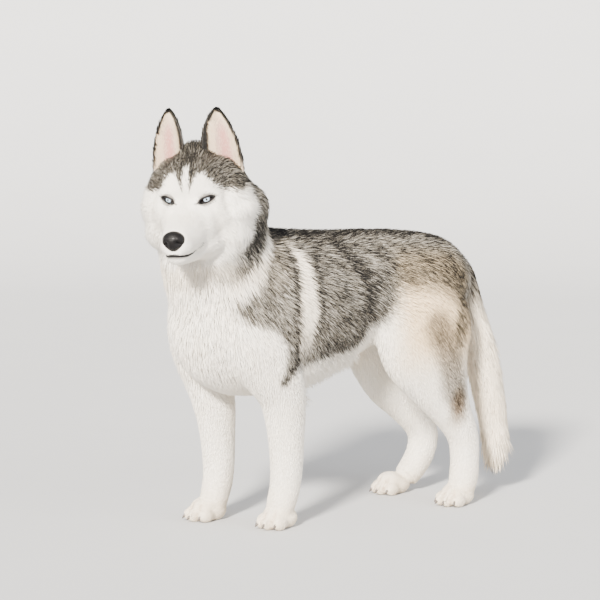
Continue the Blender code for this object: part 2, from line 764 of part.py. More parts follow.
def build_tail(nodes):
    """The brush: a thin core, and rows of locks that widen it to its outline."""
    chance = random.Random(5)
    bm = bmesh.new()
    add_limb(bm, TAIL_ROWS[:-1], share=TAIL_CORE_SHARE)
    tail = fused("tail", bm, BODY_VOXEL / 2, 2, TAIL_TRIANGLES)
    places = limb_places(TAIL_ROWS, TAIL_STEP)
    length, width, thickness, _ = TAIL_LOCK
    steps = length / TAIL_STEP
    first, last = 3.0, len(places) - 1 - steps * (1 + LOCK_VARIETY)
    locks = []
    for row in range(TAIL_LOCK_ROWS):
        for k in range(TAIL_LOCKS_ROUND):
            start = first + (last - first) * (row + chance.uniform(-0.2, 0.2)) / (TAIL_LOCK_ROWS - 1)
            turn = 2 * math.pi * (k + row % 2 / 2) / TAIL_LOCKS_ROUND
            swing = chance.uniform(-0.15, 0.15)
            long = 1 + chance.uniform(-LOCK_VARIETY, LOCK_VARIETY)
            stations = []
            for share in (*LOCK_SHARES, 1.0):
                index = min(max(start + share * steps * long, 0.0), len(places) - 1.001)
                whole, part = int(index), index % 1.0
                here, side, out = (near.lerp(far, part) for near, far
                                   in zip(places[whole], places[whole + 1]))
                angle = turn + swing * share
                reach = TAIL_LOCK_REACH[0] + (TAIL_LOCK_REACH[1] - TAIL_LOCK_REACH[0]) * share ** 0.75
                arm = side * math.cos(angle) + out * math.sin(angle)
                across = (out * math.cos(angle) - side * math.sin(angle)).normalized()
                stations.append((here + arm * reach, across, arm.normalized()))
            locks.append(lock(stations, width, thickness))
    join_locks(tail, locks)
    for name in ("rump", "thigh_left", "thigh_right"):
        make_room(tail, nodes[name], "MANIFOLD", FINEST)
    return {"tail": tail}


def eye_place(frame, sign):
    """An eye's own frame: -y looks out of the head, x runs to the outer corner's side."""
    front = Vector((sign * EYE_HALF_SPAN, 0.0, 0.0))
    look = Vector((sign * math.sin(EYE_TURN_OUT), -math.cos(EYE_TURN_OUT), 0.0))
    centre = front - look * EYE_RADIUS
    return (frame @ Matrix.Translation(centre) @ spin(sign * EYE_TURN_OUT, "Z")
            @ spin(-sign * EYE_SLANT, "Y"))


def lid_opening(place):
    """The wedge between the lids, from one corner of the eye to the other."""
    bm = bmesh.new()
    reach = 0.018
    half = EYE_RADIUS + LID_THICKNESS - 0.0008
    outline = [(0.0015, 0.0), (-reach * math.cos(UPPER_LID_OPEN), reach * math.sin(UPPER_LID_OPEN)),
               (-reach * math.cos(LOWER_LID_OPEN), -reach * math.sin(LOWER_LID_OPEN))]
    add_rings(bm, [[place @ Vector((x, y, z)) for y, z in outline] for x in (-half, half)])
    outward(bm)
    return as_object("lid_opening", bm)


def ear_edge(points, t):
    """A point of a bowed edge, from the root to the tip."""
    start, bow, end = points
    return start * (1 - t) ** 2 + bow * 2 * t * (1 - t) + end * t ** 2


def ear(name, frame, sign):
    """A pointed shell, hollowed towards the front, rooted in the head."""
    bm = bmesh.new()
    heights = [-0.16, 0.0, 0.16, 0.32, 0.48, 0.64, 0.78, 0.90, 1.0]
    across = [-1.0, -0.7, -0.35, 0.0, 0.35, 0.7, 1.0]
    rings = []
    for height in heights:
        inner = ear_edge(EAR_INNER_EDGE, height)
        outer = ear_edge(EAR_OUTER_EDGE, height)
        cup = EAR_CUP_DEPTH * max(0.0, 1 - max(0.0, height)) ** 0.8
        wall = EAR_THICKNESS * (1 - 0.55 * max(0.0, height))
        front, back = [], []
        for share in across:
            point = inner.lerp(outer, (share + 1) / 2)
            hollow = cup * (1 - share ** 2)
            front.append(point + Vector((0, hollow, 0)))
            thick = wall * (0.45 + 0.55 * (1 - share ** 2))
            back.append(point + Vector((0, hollow + thick, 0)))
        ring = front + list(reversed(back))
        rings.append([frame @ Vector((sign * p.x, p.y, p.z)) for p in ring])
    add_rings(bm, rings)
    bmesh.ops.triangulate(bm, faces=bm.faces)
    outward(bm)
    return as_object(name, bm)


def nose(frame):
    """The leathery pad with its two comma-shaped nostrils."""
    pad = ball("nose", NOSE_CENTRE, NOSE_RADII, frame, fine=NOSE_FINE)
    for sign in (-1, 1):
        hole = ball("hole", NOSE_CENTRE + Vector((sign * NOSTRIL_SIDE, -0.0150, -0.0005)),
                    (0.0042, 0.0070, 0.0040), frame, fine=(8, 6))
        boolean(pad, hole, "DIFFERENCE")
        slit = ball("slit", NOSE_CENTRE + Vector((sign * (NOSTRIL_SIDE + 0.0062), -0.0110, -0.0040)),
                    (0.0065, 0.0070, 0.0016), frame, spin(sign * 0.45, "Y"), fine=(8, 4))
        boolean(pad, slit, "DIFFERENCE")
        remove(hole, slit)
    return pad


def mouth_path(head, frame):
    """Points of the mouth's line on the skin, from one corner round to the other."""
    tree = BVHTree.FromPolygons([vert.co for vert in head.data.vertices],
                                [face.vertices for face in head.data.polygons])
    side = []
    for forward, up, _ in reversed(fill_in([(f, u, 0.0) for f, u in MOUTH_LINE[1:]], 0.009)):
        start = frame @ Vector((0, -forward, up))
        hit = tree.ray_cast(start, frame.to_3x3() @ Vector((1, 0, 0)))[0]
        if hit:
            local = frame.inverted() @ hit
            side.append(local)
    front = tree.ray_cast(frame @ Vector((0, -0.14, MOUTH_LINE[1][1])),
                          frame.to_3x3() @ Vector((0, 1, 0)))[0]
    middle = frame.inverted() @ front
    mirror = [Vector((-point.x, point.y, point.z)) for point in reversed(side)]
    return side + [middle] + mirror


def groove(points, radius, frame, name="groove"):
    """A thin round cutter along points of the head's own frame."""
    bm = bmesh.new()
    rings = []
    for index, here in enumerate(points):
        ahead = points[min(index + 1, len(points) - 1)]
        behind = points[max(index - 1, 0)]
        along = (ahead - behind).normalized()
        up = Vector((0, 0, 1))
        out = along.cross(up).normalized()
        ring = [frame @ (here + out * radius * math.cos(turn) + up * radius * math.sin(turn))
                for turn in (k * math.pi / 3 for k in range(6))]
        rings.append(ring)
    add_rings(bm, rings)
    outward(bm)
    return as_object(name, bm)


def jaw_region(frame, grow):
    """A block under the mouth's line, grown by a gap."""
    bm = bmesh.new()
    rings = [[frame @ Vector((x, -forward, up)) for forward, up in MOUTH_LINE + JAW_BACK]
             for x in (-0.08 - grow, 0.08 + grow)]
    add_rings(bm, rings)
    outward(bm)
    solid = as_object("jaw_region", bm)
    if grow:
        wider = swollen(solid, grow, "jaw_region_wide")
        remove(solid)
        return wider
    return solid


def build_head(frame):
    """Head, lower jaw, nose, ears and eyes."""
    bm = bmesh.new()
    add_skull(bm, frame)
    add_limb(bm, NECK_ROWS, 24)
    head = fused("head", bm, HEAD_VOXEL, 26, HEAD_TRIANGLES)
    point, normal = neck_plane(frame)
    half_kept(head, point + normal * GAP / 2, normal, True)
    nodes = {"head": head}
    for side, sign in (("left", 1), ("right", -1)):
        place = eye_place(frame, sign)
        lids = ball("lids", Vector(), (EYE_RADIUS + LID_THICKNESS,) * 3, place, fine=EYE_FINE)
        boolean(head, lids, "UNION")
        opening = lid_opening(place)
        boolean(head, opening, "DIFFERENCE")
        hollow = ball("hollow", Vector(), (EYE_RADIUS + GAP,) * 3, place, fine=EYE_FINE)
        boolean(head, hollow, "DIFFERENCE")
        remove(lids, opening, hollow)
        nodes["eye_" + side] = ball("eye_" + side, Vector(), (EYE_RADIUS,) * 3, place,
                                    fine=EYE_FINE)
    nodes["nose"] = nose(frame)
    seat = ball("seat", NOSE_CENTRE, tuple(radius + GAP for radius in NOSE_RADII), frame,
                fine=NOSE_FINE)
    boolean(head, seat, "DIFFERENCE")
    cutter = groove(mouth_path(head, frame), LIP_GROOVE, frame)
    jaw = twin(head, "lower_jaw")
    inside = jaw_region(frame, 0.0)
    wider = jaw_region(frame, GAP)
    boolean(jaw, inside, "INTERSECT")
    boolean(head, wider, "DIFFERENCE")
    boolean(jaw, cutter, "DIFFERENCE")
    boolean(head, cutter, "DIFFERENCE")
    remove(inside, wider, cutter, seat)
    nodes["lower_jaw"] = jaw
    for side, sign in (("left", 1), ("right", -1)):
        shell = ear("ear_" + side, frame, sign)
        make_room(shell, head)
        nodes["ear_" + side] = shell
    return nodes


FINISHES = {"ear": "ear_coat", "nose": "nose_leather", "eye": "eye_surface",
            "claw": "claw_horn", "loin": "grey_coat"}


def centre_on_floor(things):
    """Moves the dog so that the origin is under the middle of its bounding box."""
    corners = [vert.co for thing in things for vert in thing.data.vertices]
    low = Vector(min(corner[axis] for corner in corners) for axis in range(3))
    high = Vector(max(corner[axis] for corner in corners) for axis in range(3))
    shift = Vector((-(low.x + high.x) / 2, -(low.y + high.y) / 2, -low.z))
    for thing in things:
        thing.data.transform(Matrix.Translation(shift))
    return shift


def build():
    """Makes the whole dog."""
    clear_scene()
    frame = head_frame()
    nodes = build_body(frame)
    nodes.update(build_head(frame))
    nodes.update(build_paws())
    nodes.update(build_tail(nodes))
    for name, thing in nodes.items():
        shade(thing, FINISHES.get(name.split("_")[0], "white_coat"))
    return centre_on_floor(list(nodes.values()))


SHIFT = build()
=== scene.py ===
"""A siberian husky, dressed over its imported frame: skin, coat, eyes, nose and claws.

The dog is modelled in the same frame as its solids, facing -Y, and moved by one shift at the
end of each piece. The skin is fused from tapered tubes and balls, and lies inside the coat's
outline. The coat is closed tufts that follow the skin from root to tip.
"""
import math

import bmesh
import bpy
import numpy as np
from mathutils import Matrix, Vector, noise
from mathutils.bvhtree import BVHTree
from mathutils.kdtree import KDTree


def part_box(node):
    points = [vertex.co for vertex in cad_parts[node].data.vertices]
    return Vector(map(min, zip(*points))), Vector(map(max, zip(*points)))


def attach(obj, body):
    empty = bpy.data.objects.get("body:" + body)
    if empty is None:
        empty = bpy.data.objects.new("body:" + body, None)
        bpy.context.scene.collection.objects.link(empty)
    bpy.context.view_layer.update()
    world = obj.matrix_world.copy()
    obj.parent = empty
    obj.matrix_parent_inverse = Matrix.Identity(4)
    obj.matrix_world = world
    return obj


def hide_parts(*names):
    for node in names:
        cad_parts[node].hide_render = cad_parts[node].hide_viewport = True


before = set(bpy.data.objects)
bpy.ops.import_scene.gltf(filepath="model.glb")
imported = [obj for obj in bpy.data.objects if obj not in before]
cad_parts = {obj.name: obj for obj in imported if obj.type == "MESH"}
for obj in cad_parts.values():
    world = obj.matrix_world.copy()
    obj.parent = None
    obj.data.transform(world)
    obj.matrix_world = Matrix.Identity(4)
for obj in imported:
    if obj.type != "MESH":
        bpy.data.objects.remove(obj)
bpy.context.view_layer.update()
DICE = np.random.default_rng(21)
THINNING = 1.0

# Head: the point midway between the eyes, and how the head is turned
MID_EYE = Vector((0.0787, -0.3790, 0.6400))
HEAD_YAW = math.radians(41.2)
HEAD_PITCH = math.radians(9.1)
HEAD_ROLL = math.radians(2.0)

# The view, and the sweep of the floor behind the dog
VIEW_TURN = math.radians(56)
VIEW_RISE = math.radians(6.5)
SWEEP_START = 4.0
SWEEP_RADIUS = 3.0

# Eyes
EYE_HALF_SPAN = 0.0384
EYE_RADIUS = 0.0124
EYE_SINK = 0.0026
EYE_TURN_OUT = math.radians(20)
EYE_SLANT = math.radians(16)
LID_OPENING = (0.0114, 0.0026, 0.0033)
LID_EDGE = (0.0185, 0.0074, 0.0066)
LID_RISE = 0.0013
IRIS_RADIUS = 0.0066
PUPIL_RADIUS = 0.0021

# Nose and mouth, in the head's own frame
NOSE_CENTRE = Vector((0.0, -0.0950, -0.0548))
NOSE_RADII = (0.0212, 0.0170, 0.0190)
MOUTH_LINE = [(0.1060, -0.0800), (0.0985, -0.0810), (0.0850, -0.0835), (0.0660, -0.0840),
              (0.0500, -0.0790), (0.0400, -0.0725)]

# Ears, in the head's own frame: ends and bulge of the two edges
EAR_INNER_EDGE = (Vector((0.019, 0.058, 0.066)), Vector((0.015, 0.060, 0.128)),
                  Vector((0.0435, 0.078, 0.1535)))
EAR_OUTER_EDGE = (Vector((0.088, 0.084, 0.022)), Vector((0.090, 0.082, 0.104)),
                  Vector((0.0510, 0.079, 0.1530)))
EAR_CUP_DEPTH = 0.024

# Trunk out to the tips of the coat: y, top z, bottom z, half width
TRUNK_ROWS = [
    (-0.352, 0.425, 0.370, 0.030), (-0.343, 0.462, 0.338, 0.058), (-0.322, 0.505, 0.300, 0.088),
    (-0.285, 0.545, 0.270, 0.108), (-0.235, 0.568, 0.252, 0.118), (-0.170, 0.577, 0.247, 0.120),
    (-0.100, 0.571, 0.258, 0.120), (-0.030, 0.566, 0.282, 0.116), (0.040, 0.564, 0.308, 0.108),
    (0.105, 0.562, 0.336, 0.098), (0.165, 0.557, 0.350, 0.101), (0.210, 0.552, 0.355, 0.104),
    (0.248, 0.544, 0.362, 0.095), (0.280, 0.530, 0.376, 0.079), (0.306, 0.509, 0.392, 0.053),
]

# Neck with its ruff: x, y, z, half width, half depth
NECK_ROWS = [
    (0.000, -0.215, 0.400, 0.112, 0.112), (0.000, -0.240, 0.455, 0.113, 0.117),
    (0.001, -0.262, 0.510, 0.111, 0.113), (0.003, -0.276, 0.560, 0.108, 0.109),
    (0.009, -0.284, 0.605, 0.107, 0.104), (0.016, -0.294, 0.645, 0.100, 0.092),
    (0.024, -0.306, 0.682, 0.076, 0.068),
]

# Muzzle and lower jaw in the head's own frame: forward, top, bottom, half width
MUZZLE_ROWS = [
    (0.1030, -0.050, -0.081, 0.0160), (0.0985, -0.040, -0.086, 0.0235),
    (0.0870, -0.034, -0.091, 0.0285), (0.0700, -0.030, -0.094, 0.0325),
    (0.0500, -0.026, -0.097, 0.0375), (0.0300, -0.020, -0.101, 0.0435),
    (0.0140, -0.008, -0.104, 0.0505), (-0.0080, 0.020, -0.107, 0.0570),
    (-0.0400, 0.040, -0.104, 0.0620),
]
JAW_ROWS = [
    (0.0950, -0.081, -0.094, 0.0110), (0.0900, -0.076, -0.100, 0.0180),
    (0.0750, -0.074, -0.105, 0.0230), (0.0550, -0.074, -0.108, 0.0285),
    (0.0350, -0.074, -0.110, 0.0350), (0.0100, -0.070, -0.111, 0.0430),
    (-0.0200, -0.060, -0.110, 0.0500),
]

# Balls of the head: side, back, up, then their three radii
MIDDLE_BALLS = [
    (0.000, 0.070, 0.022, 0.074, 0.074, 0.060), (0.000, 0.032, 0.014, 0.050, 0.038, 0.034),
    (0.000, 0.034, -0.082, 0.064, 0.075, 0.040), (0.000, 0.080, 0.048, 0.046, 0.044, 0.052),
    (0.076, 0.102, -0.042, 0.054, 0.046, 0.057),
]
PAIRED_BALLS = [
    (0.032, 0.024, 0.014, 0.026, 0.022, 0.015), (0.038, 0.036, -0.006, 0.036, 0.032, 0.034),
    (0.046, 0.046, -0.030, 0.040, 0.046, 0.044), (0.058, 0.078, 0.012, 0.042, 0.046, 0.042),
    (0.063, 0.072, -0.022, 0.048, 0.054, 0.052), (0.060, 0.070, -0.042, 0.051, 0.054, 0.050),
    (0.056, 0.068, -0.062, 0.052, 0.054, 0.050), (0.016, -0.076, -0.066, 0.016, 0.024, 0.018),
    (0.048, 0.078, 0.036, 0.034, 0.034, 0.032), (0.057, 0.062, -0.072, 0.052, 0.048, 0.046),
    (0.060, 0.064, -0.028, 0.054, 0.050, 0.046),
]

# Strokes that shape the face: side, back, up, how wide, and how far out or in
HEAD_STROKES = [
    (0.000, -0.014, 0.006, 0.013, -0.0030), (0.029, -0.014, -0.020, 0.011, -0.0035),
    (0.036, -0.019, -0.042, 0.012, -0.0040), (0.041, -0.024, -0.064, 0.012, -0.0035),
    (0.031, 0.002, 0.020, 0.013, 0.0025), (0.056, 0.012, -0.018, 0.016, 0.0020),
    (0.000, -0.060, -0.026, 0.012, 0.0010), (0.088, 0.034, -0.062, 0.030, 0.0060),
    (0.030, -0.050, -0.088, 0.007, -0.0020), (0.000, -0.092, -0.090, 0.010, 0.0012),
]

# Legs: x, y, z, half width, half depth; the right foreleg mirrors x and stands further ahead
FORE_ROWS = [
    (0.060, -0.215, 0.480, 0.040, 0.080), (0.074, -0.225, 0.420, 0.045, 0.090),
    (0.080, -0.222, 0.370, 0.044, 0.086), (0.082, -0.198, 0.315, 0.041, 0.066),
    (0.080, -0.170, 0.265, 0.036, 0.053), (0.077, -0.160, 0.215, 0.033, 0.045),
    (0.075, -0.156, 0.160, 0.0310, 0.038), (0.073, -0.155, 0.110, 0.0300, 0.034),
    (0.072, -0.158, 0.075, 0.0285, 0.032), (0.071, -0.165, 0.050, 0.0280, 0.030),
    (0.070, -0.170, 0.030, 0.0260, 0.028),
]
FORE_AHEAD = {"left": 0.0, "right": 0.062}
SHOULDER_Z = 0.42
HIND_ROWS = {
    "left": [
        (0.050, 0.190, 0.480, 0.050, 0.084), (0.068, 0.174, 0.430, 0.055, 0.108),
        (0.078, 0.168, 0.375, 0.054, 0.117), (0.084, 0.175, 0.320, 0.047, 0.110),
        (0.086, 0.197, 0.265, 0.040, 0.081), (0.086, 0.223, 0.215, 0.034, 0.056),
        (0.086, 0.248, 0.170, 0.030, 0.040), (0.086, 0.264, 0.135, 0.028, 0.034),
        (0.086, 0.268, 0.095, 0.0275, 0.031), (0.086, 0.266, 0.055, 0.0280, 0.031),
        (0.086, 0.260, 0.030, 0.0270, 0.028),
    ],
    "right": [
        (-0.050, 0.195, 0.480, 0.050, 0.083), (-0.068, 0.190, 0.420, 0.055, 0.098),
        (-0.080, 0.188, 0.360, 0.053, 0.107), (-0.085, 0.193, 0.300, 0.046, 0.094),
        (-0.086, 0.213, 0.238, 0.039, 0.070), (-0.086, 0.246, 0.186, 0.033, 0.046),
        (-0.086, 0.278, 0.146, 0.029, 0.037), (-0.086, 0.292, 0.112, 0.028, 0.033),
        (-0.085, 0.284, 0.078, 0.0275, 0.031), (-0.084, 0.266, 0.050, 0.0280, 0.030),
        (-0.084, 0.246, 0.030, 0.0270, 0.026),
    ],
}

# Paws: where each stands, and how far it is turned
PAWS = {
    "fore_left": (Vector((0.070, -0.168, 0.0)), math.radians(4)),
    "fore_right": (Vector((-0.070, -0.243, 0.0)), math.radians(-5)),
    "hind_left": (Vector((0.086, 0.252, 0.0)), math.radians(4)),
    "hind_right": (Vector((-0.084, 0.216, 0.0)), math.radians(-4)),
}
TOE_SIDEWAYS = (-0.0250, -0.0092, 0.0092, 0.0250)
TOE_FORWARD = (0.018, 0.032, 0.032, 0.018)
TOE_RADII = (0.0108, 0.0185, 0.0150)
TOE_SPREAD = 6.0
TOE_GAPS = (-0.0171, 0.0, 0.0171)
CLAW_LENGTH = 0.0115
CLAW_RADIUS = 0.0029
CLAW_BEND = 0.9

# Tail out to the tips of its brush, and the share of it that its skin takes up
TAIL_ROWS = [
    (0.000, 0.262, 0.484, 0.034, 0.032), (0.003, 0.298, 0.468, 0.040, 0.038),
    (0.008, 0.324, 0.422, 0.042, 0.040), (0.014, 0.343, 0.350, 0.044, 0.042),
    (0.020, 0.362, 0.280, 0.045, 0.043), (0.024, 0.378, 0.210, 0.043, 0.042),
    (0.027, 0.389, 0.150, 0.037, 0.035), (0.028, 0.392, 0.085, 0.022, 0.021),
]
TAIL_SKIN_SHARES = ([0.0, 0.14, 0.32, 1.0], [0.86, 0.78, 0.50, 0.40])

# How the coat lies on the body: x, y, z, then its way, and length, depth and width in mm
BODY_GUIDES = [
    (0.00, -0.17, 0.575, 0, 1, -0.05, 36, 11, 2.6), (0.00, -0.02, 0.565, 0, 1, 0, 32, 10, 2.5),
    (0.00, 0.15, 0.558, 0, 1, -0.15, 32, 10, 2.5), (0.00, 0.25, 0.520, 0, 0.75, -0.7, 34, 11, 2.5),
    (0.12, -0.17, 0.45, 0, 0.70, -0.72, 30, 10, 2.4), (0.12, -0.03, 0.45, 0, 0.88, -0.48, 30, 10, 2.4),
    (0.10, 0.08, 0.43, 0, 0.80, -0.6, 28, 9, 2.4), (0.104, 0.20, 0.47, 0, 0.60, -0.8, 28, 9, 2.3),
    (0.13, 0.16, 0.37, 0, 0.45, -0.9, 25, 8, 2.2), (0.08, 0.28, 0.38, 0.1, 0.40, -0.9, 44, 13, 2.8),
    (0.08, 0.27, 0.31, 0.05, 0.35, -0.93, 38, 11, 2.6), (0.10, 0.07, 0.33, 0, 0.5, -0.85, 20, 6.5, 2.0),
    (0.03, 0.16, 0.30, 0, 0.3, -0.95, 18, 6, 2.0), (0.12, 0.20, 0.25, 0, 0.45, -0.9, 18, 6, 2.0),
    (0.086, 0.27, 0.22, 0, 0.3, -0.95, 26, 8, 2.2), (0.086, 0.20, 0.17, 0, 0.35, -0.93, 12, 4, 1.8),
    (0.086, 0.29, 0.13, 0, 0.0, -1, 13, 4.0, 1.8), (0.086, 0.26, 0.07, 0, -0.05, -1, 10, 3.4, 1.7),
    (0.04, -0.06, 0.285, 0, 0.6, -0.75, 38, 11, 2.4), (0.00, 0.08, 0.33, 0, 1, -0.2, 18, 6, 2.2),
    (0.00, -0.35, 0.42, 0, -0.05, -1, 42, 13, 2.8), (0.07, -0.33, 0.40, 0.1, 0.1, -1, 40, 12, 2.8),
    (0.00, -0.30, 0.30, 0, 0.3, -1, 32, 10, 2.6), (0.00, -0.20, 0.25, 0, 0.9, -0.45, 26, 8, 2.4),
    (0.12, -0.24, 0.42, 0, 0.45, -0.9, 32, 10, 2.5), (0.12, -0.20, 0.31, 0, 0.15, -1, 20, 6.5, 2.1),
    (0.08, -0.20, 0.20, 0, 0.0, -1, 13, 4.2, 1.8), (0.08, -0.12, 0.20, 0, 0.35, -0.95, 18, 5.5, 1.9),
    (0.072, -0.16, 0.10, 0, 0.0, -1, 10, 3.4, 1.7), (0.07, -0.21, 0.035, 0, -0.9, -0.4, 9, 2.6, 1.5),
    (0.07, -0.15, 0.03, 0, 0.2, -1, 8, 2.4, 1.5), (0.07, -0.28, 0.035, 0, -0.9, -0.4, 9, 2.6, 1.5),
    (0.086, 0.21, 0.035, 0, -0.9, -0.4, 9, 2.6, 1.5), (0.086, 0.28, 0.03, 0, 0.0, -1, 9, 3.0, 1.6),
    (0.107, -0.27, 0.58, 0.05, 0.32, -0.95, 48, 14, 2.9), (0.00, -0.38, 0.52, 0, 0.05, -1, 48, 14, 2.9),
    (0.00, -0.19, 0.64, 0, 0.62, -0.78, 46, 14, 2.8), (0.10, -0.30, 0.64, 0.1, 0.35, -0.93, 42, 13, 2.8),
    (0.00, -0.365, 0.46, 0, 0.0, -1, 46, 14, 2.9), (0.11, -0.26, 0.50, 0, 0.35, -0.93, 44, 13, 2.8),
]

# The same on the head, in its own frame: side, back and up
HEAD_GUIDES = [
    (0, -0.085, -0.034, 0, 0.95, 0.3, 5, 1.0, 1.1), (0, -0.050, -0.020, 0, 0.93, 0.37, 7, 1.4, 1.2),
    (0, -0.010, 0.010, 0, 0.80, 0.6, 10, 2.2, 1.4), (0, 0.020, 0.055, 0, 0.75, 0.65, 14, 4.0, 1.5),
    (0, 0.075, 0.080, 0, 0.80, 0.55, 24, 10, 1.8), (0.035, 0.005, 0.024, 0.30, 0.70, 0.6, 9, 2.0, 1.3),
    (0.060, 0.025, 0.030, 0.50, 0.75, 0.35, 12, 3.0, 1.5), (0.085, 0.050, 0.010, 0.40, 0.85, -0.25, 20, 6, 1.7),
    (0.042, -0.008, -0.020, 0.35, 0.75, -0.45, 8, 1.7, 1.3), (0.060, 0.020, -0.045, 0.45, 0.75, -0.45, 14, 3.6, 1.5),
    (0.100, 0.060, -0.030, 0.35, 0.80, -0.5, 27, 9, 1.9), (0.085, 0.055, -0.080, 0.25, 0.70, -0.70, 30, 11, 2.0),
    (0.030, -0.060, -0.060, 0.25, 0.90, -0.3, 7, 1.5, 1.2), (0.022, -0.090, -0.070, 0.35, 0.85, -0.35, 4.5, 1.0, 1.0),
    (0.045, -0.030, -0.080, 0.20, 0.85, -0.45, 9, 2.0, 1.3), (0, -0.090, -0.098, 0, 0.70, -0.7, 5, 1.3, 1.1),
    (0, -0.030, -0.112, 0, 1, -0.1, 13, 3.2, 1.5), (0, 0.030, -0.120, 0, 0.70, -0.7, 28, 8, 2.2),
    (0.095, 0.110, -0.030, 0.15, 0.85, -0.6, 36, 11, 2.4), (0.060, 0.110, 0.050, 0, 0.90, -0.4, 26, 8, 2.1),
    (0, 0.130, 0.060, 0, 0.90, -0.4, 32, 10, 2.3), (0.045, 0.000, -0.105, 0.1, 0.9, -0.45, 14, 3.6, 1.5),
    (0.038, -0.002, 0.011, 0.15, 0.5, 0.85, 5, 1.1, 1.0), (0.040, -0.006, -0.012, 0.3, 0.7, -0.65, 4.5, 0.9, 1.0),
    (0.024, -0.010, -0.004, -0.5, 0.5, 0.3, 3.5, 0.7, 0.8), (0.056, 0.006, 0.004, 0.6, 0.8, 0.05, 6, 1.2, 1.1),
]

# Markings of the trunk, seen from the side: y and z
SADDLE = [
    (-0.185, 0.575), (-0.202, 0.536), (-0.226, 0.491), (-0.258, 0.462), (-0.288, 0.440),
    (-0.268, 0.408), (-0.215, 0.395), (-0.178, 0.360), (-0.190, 0.296), (-0.120, 0.318),
    (-0.030, 0.330), (0.016, 0.350), (0.028, 0.382), (0.062, 0.384), (0.084, 0.418),
    (0.096, 0.444), (0.130, 0.452), (0.200, 0.440), (0.250, 0.395), (0.300, 0.345),
    (0.340, 0.620), (-0.185, 0.620),
]
STRIPE = [(-0.152, 0.548), (-0.134, 0.519), (-0.126, 0.493), (-0.129, 0.461), (-0.131, 0.430),
          (-0.132, 0.398), (-0.133, 0.362), (-0.130, 0.330)]
EDGE_BEFORE_STRIPE = [(-0.172, 0.570), (-0.160, 0.543), (-0.150, 0.512), (-0.153, 0.478),
                      (-0.155, 0.448), (-0.154, 0.400), (-0.152, 0.366), (-0.156, 0.320),
                      (-0.189, 0.289)]
EDGE_BEHIND_STRIPE = [(-0.105, 0.530), (-0.098, 0.490), (-0.104, 0.430), (-0.107, 0.370)]
DARK_DIAGONAL = [(-0.030, 0.545), (-0.006, 0.501), (0.017, 0.475), (0.022, 0.446),
                 (0.014, 0.410), (0.004, 0.385)]
DARK_FLANK = [(-0.080, 0.345), (-0.045, 0.352), (-0.010, 0.345)]
THIGH_SHADE = [(0.172, 0.370), (0.192, 0.330), (0.205, 0.290), (0.222, 0.240)]
RUMP_EDGE = [(0.200, 0.520), (0.238, 0.468), (0.248, 0.420), (0.240, 0.385), (0.222, 0.345)]
HOCK_PATCH = (0.230, 0.215)
SPINE = [(0.0, -0.165, 0.575), (0.0, 0.040, 0.562), (0.0, 0.150, 0.556), (0.0, 0.240, 0.530),
         (0.0, 0.290, 0.480), (0.0, 0.330, 0.430)]
NAPE = [(0.020, -0.260, 0.715), (0.010, -0.200, 0.650), (0.0, -0.165, 0.590), (0.0, -0.150, 0.575)]

# Markings of the head in its own frame: lower edge of the cap, and the band behind the cheek
CAP_EDGE = ([0.000, 0.006, 0.009, 0.014, 0.021, 0.032, 0.041, 0.050, 0.064, 0.078, 0.092, 0.120],
            [0.004, 0.010, 0.020, 0.034, 0.045, 0.044, 0.035, 0.022, 0.010, 0.004, 0.006, 0.010])
CHEEK_BAND = [(0.104, 0.108, 0.012), (0.114, 0.110, -0.029), (0.116, 0.098, -0.059),
              (0.107, 0.079, -0.087), (0.092, 0.056, -0.112), (0.074, 0.033, -0.129),
              (0.056, 0.020, -0.142)]

CHEEK_EDGE = [(0.094, 0.066, 0.004), (0.106, 0.066, -0.030), (0.106, 0.058, -0.060),
              (0.096, 0.046, -0.085), (0.080, 0.028, -0.105), (0.060, 0.010, -0.116)]

# How far the tips of neighbouring tufts are drawn together
CLUMPING = {"coat_face": 0.0, "coat_forelegs": 0.0, "coat_hind_legs": 0.0, "coat_tail": 0.3}


# Share of the skin's own facing in the shading of a tuft
SOFTNESS = 0.55

FLESH = ["chest", "neck", "loin", "rump", "head", "lower_jaw", "tail"]
FLESH += [f"{part}_{side}" for part in ("foreleg_upper", "foreleg_lower", "thigh", "shank",
                                        "hock", "paw_fore", "paw_hind")
          for side in ("left", "right")]


def head_frame():
    """The head's own frame, x to its left and -y ahead, midway between the eyes."""
    ahead = Vector((math.sin(HEAD_YAW) * math.cos(HEAD_PITCH),
                    -math.cos(HEAD_YAW) * math.cos(HEAD_PITCH), -math.sin(HEAD_PITCH)))
    level = Vector((math.cos(HEAD_YAW), math.sin(HEAD_YAW), 0.0))
    upright = level.cross(-ahead)
    left = level * math.cos(HEAD_ROLL) + upright * math.sin(HEAD_ROLL)
    up = upright * math.cos(HEAD_ROLL) - level * math.sin(HEAD_ROLL)
    return Matrix.Translation(MID_EYE) @ Matrix((left, -ahead, up)).transposed().to_4x4()


HEAD = head_frame()
HEAD_BACK = HEAD.inverted()


def eye_place(sign, sink=EYE_SINK):
    """An eye's own frame: -y looks out, and x runs to the outer corner on the left side."""
    look = Vector((sign * math.sin(EYE_TURN_OUT), -math.cos(EYE_TURN_OUT), 0.0))
    centre = Vector((sign * EYE_HALF_SPAN, 0.0, 0.0)) - look * (EYE_RADIUS + sink)
    return (HEAD @ Matrix.Translation(centre) @ Matrix.Rotation(sign * EYE_TURN_OUT, 4, "Z")
            @ Matrix.Rotation(-sign * EYE_SLANT, 4, "Y"))


eye_low, eye_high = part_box("eye_left")
SHIFT = (Vector(eye_low) + Vector(eye_high)) / 2 - eye_place(1, 0.0).to_translation()


def as_piece(name, bm, smooth=True):
    """Turns a bmesh into an object of the scene."""
    mesh = bpy.data.meshes.new(name)
    bm.to_mesh(mesh)
    bm.free()
    if smooth:
        mesh.shade_smooth()
    piece = bpy.data.objects.new(name, mesh)
    bpy.context.scene.collection.objects.link(piece)
    return piece


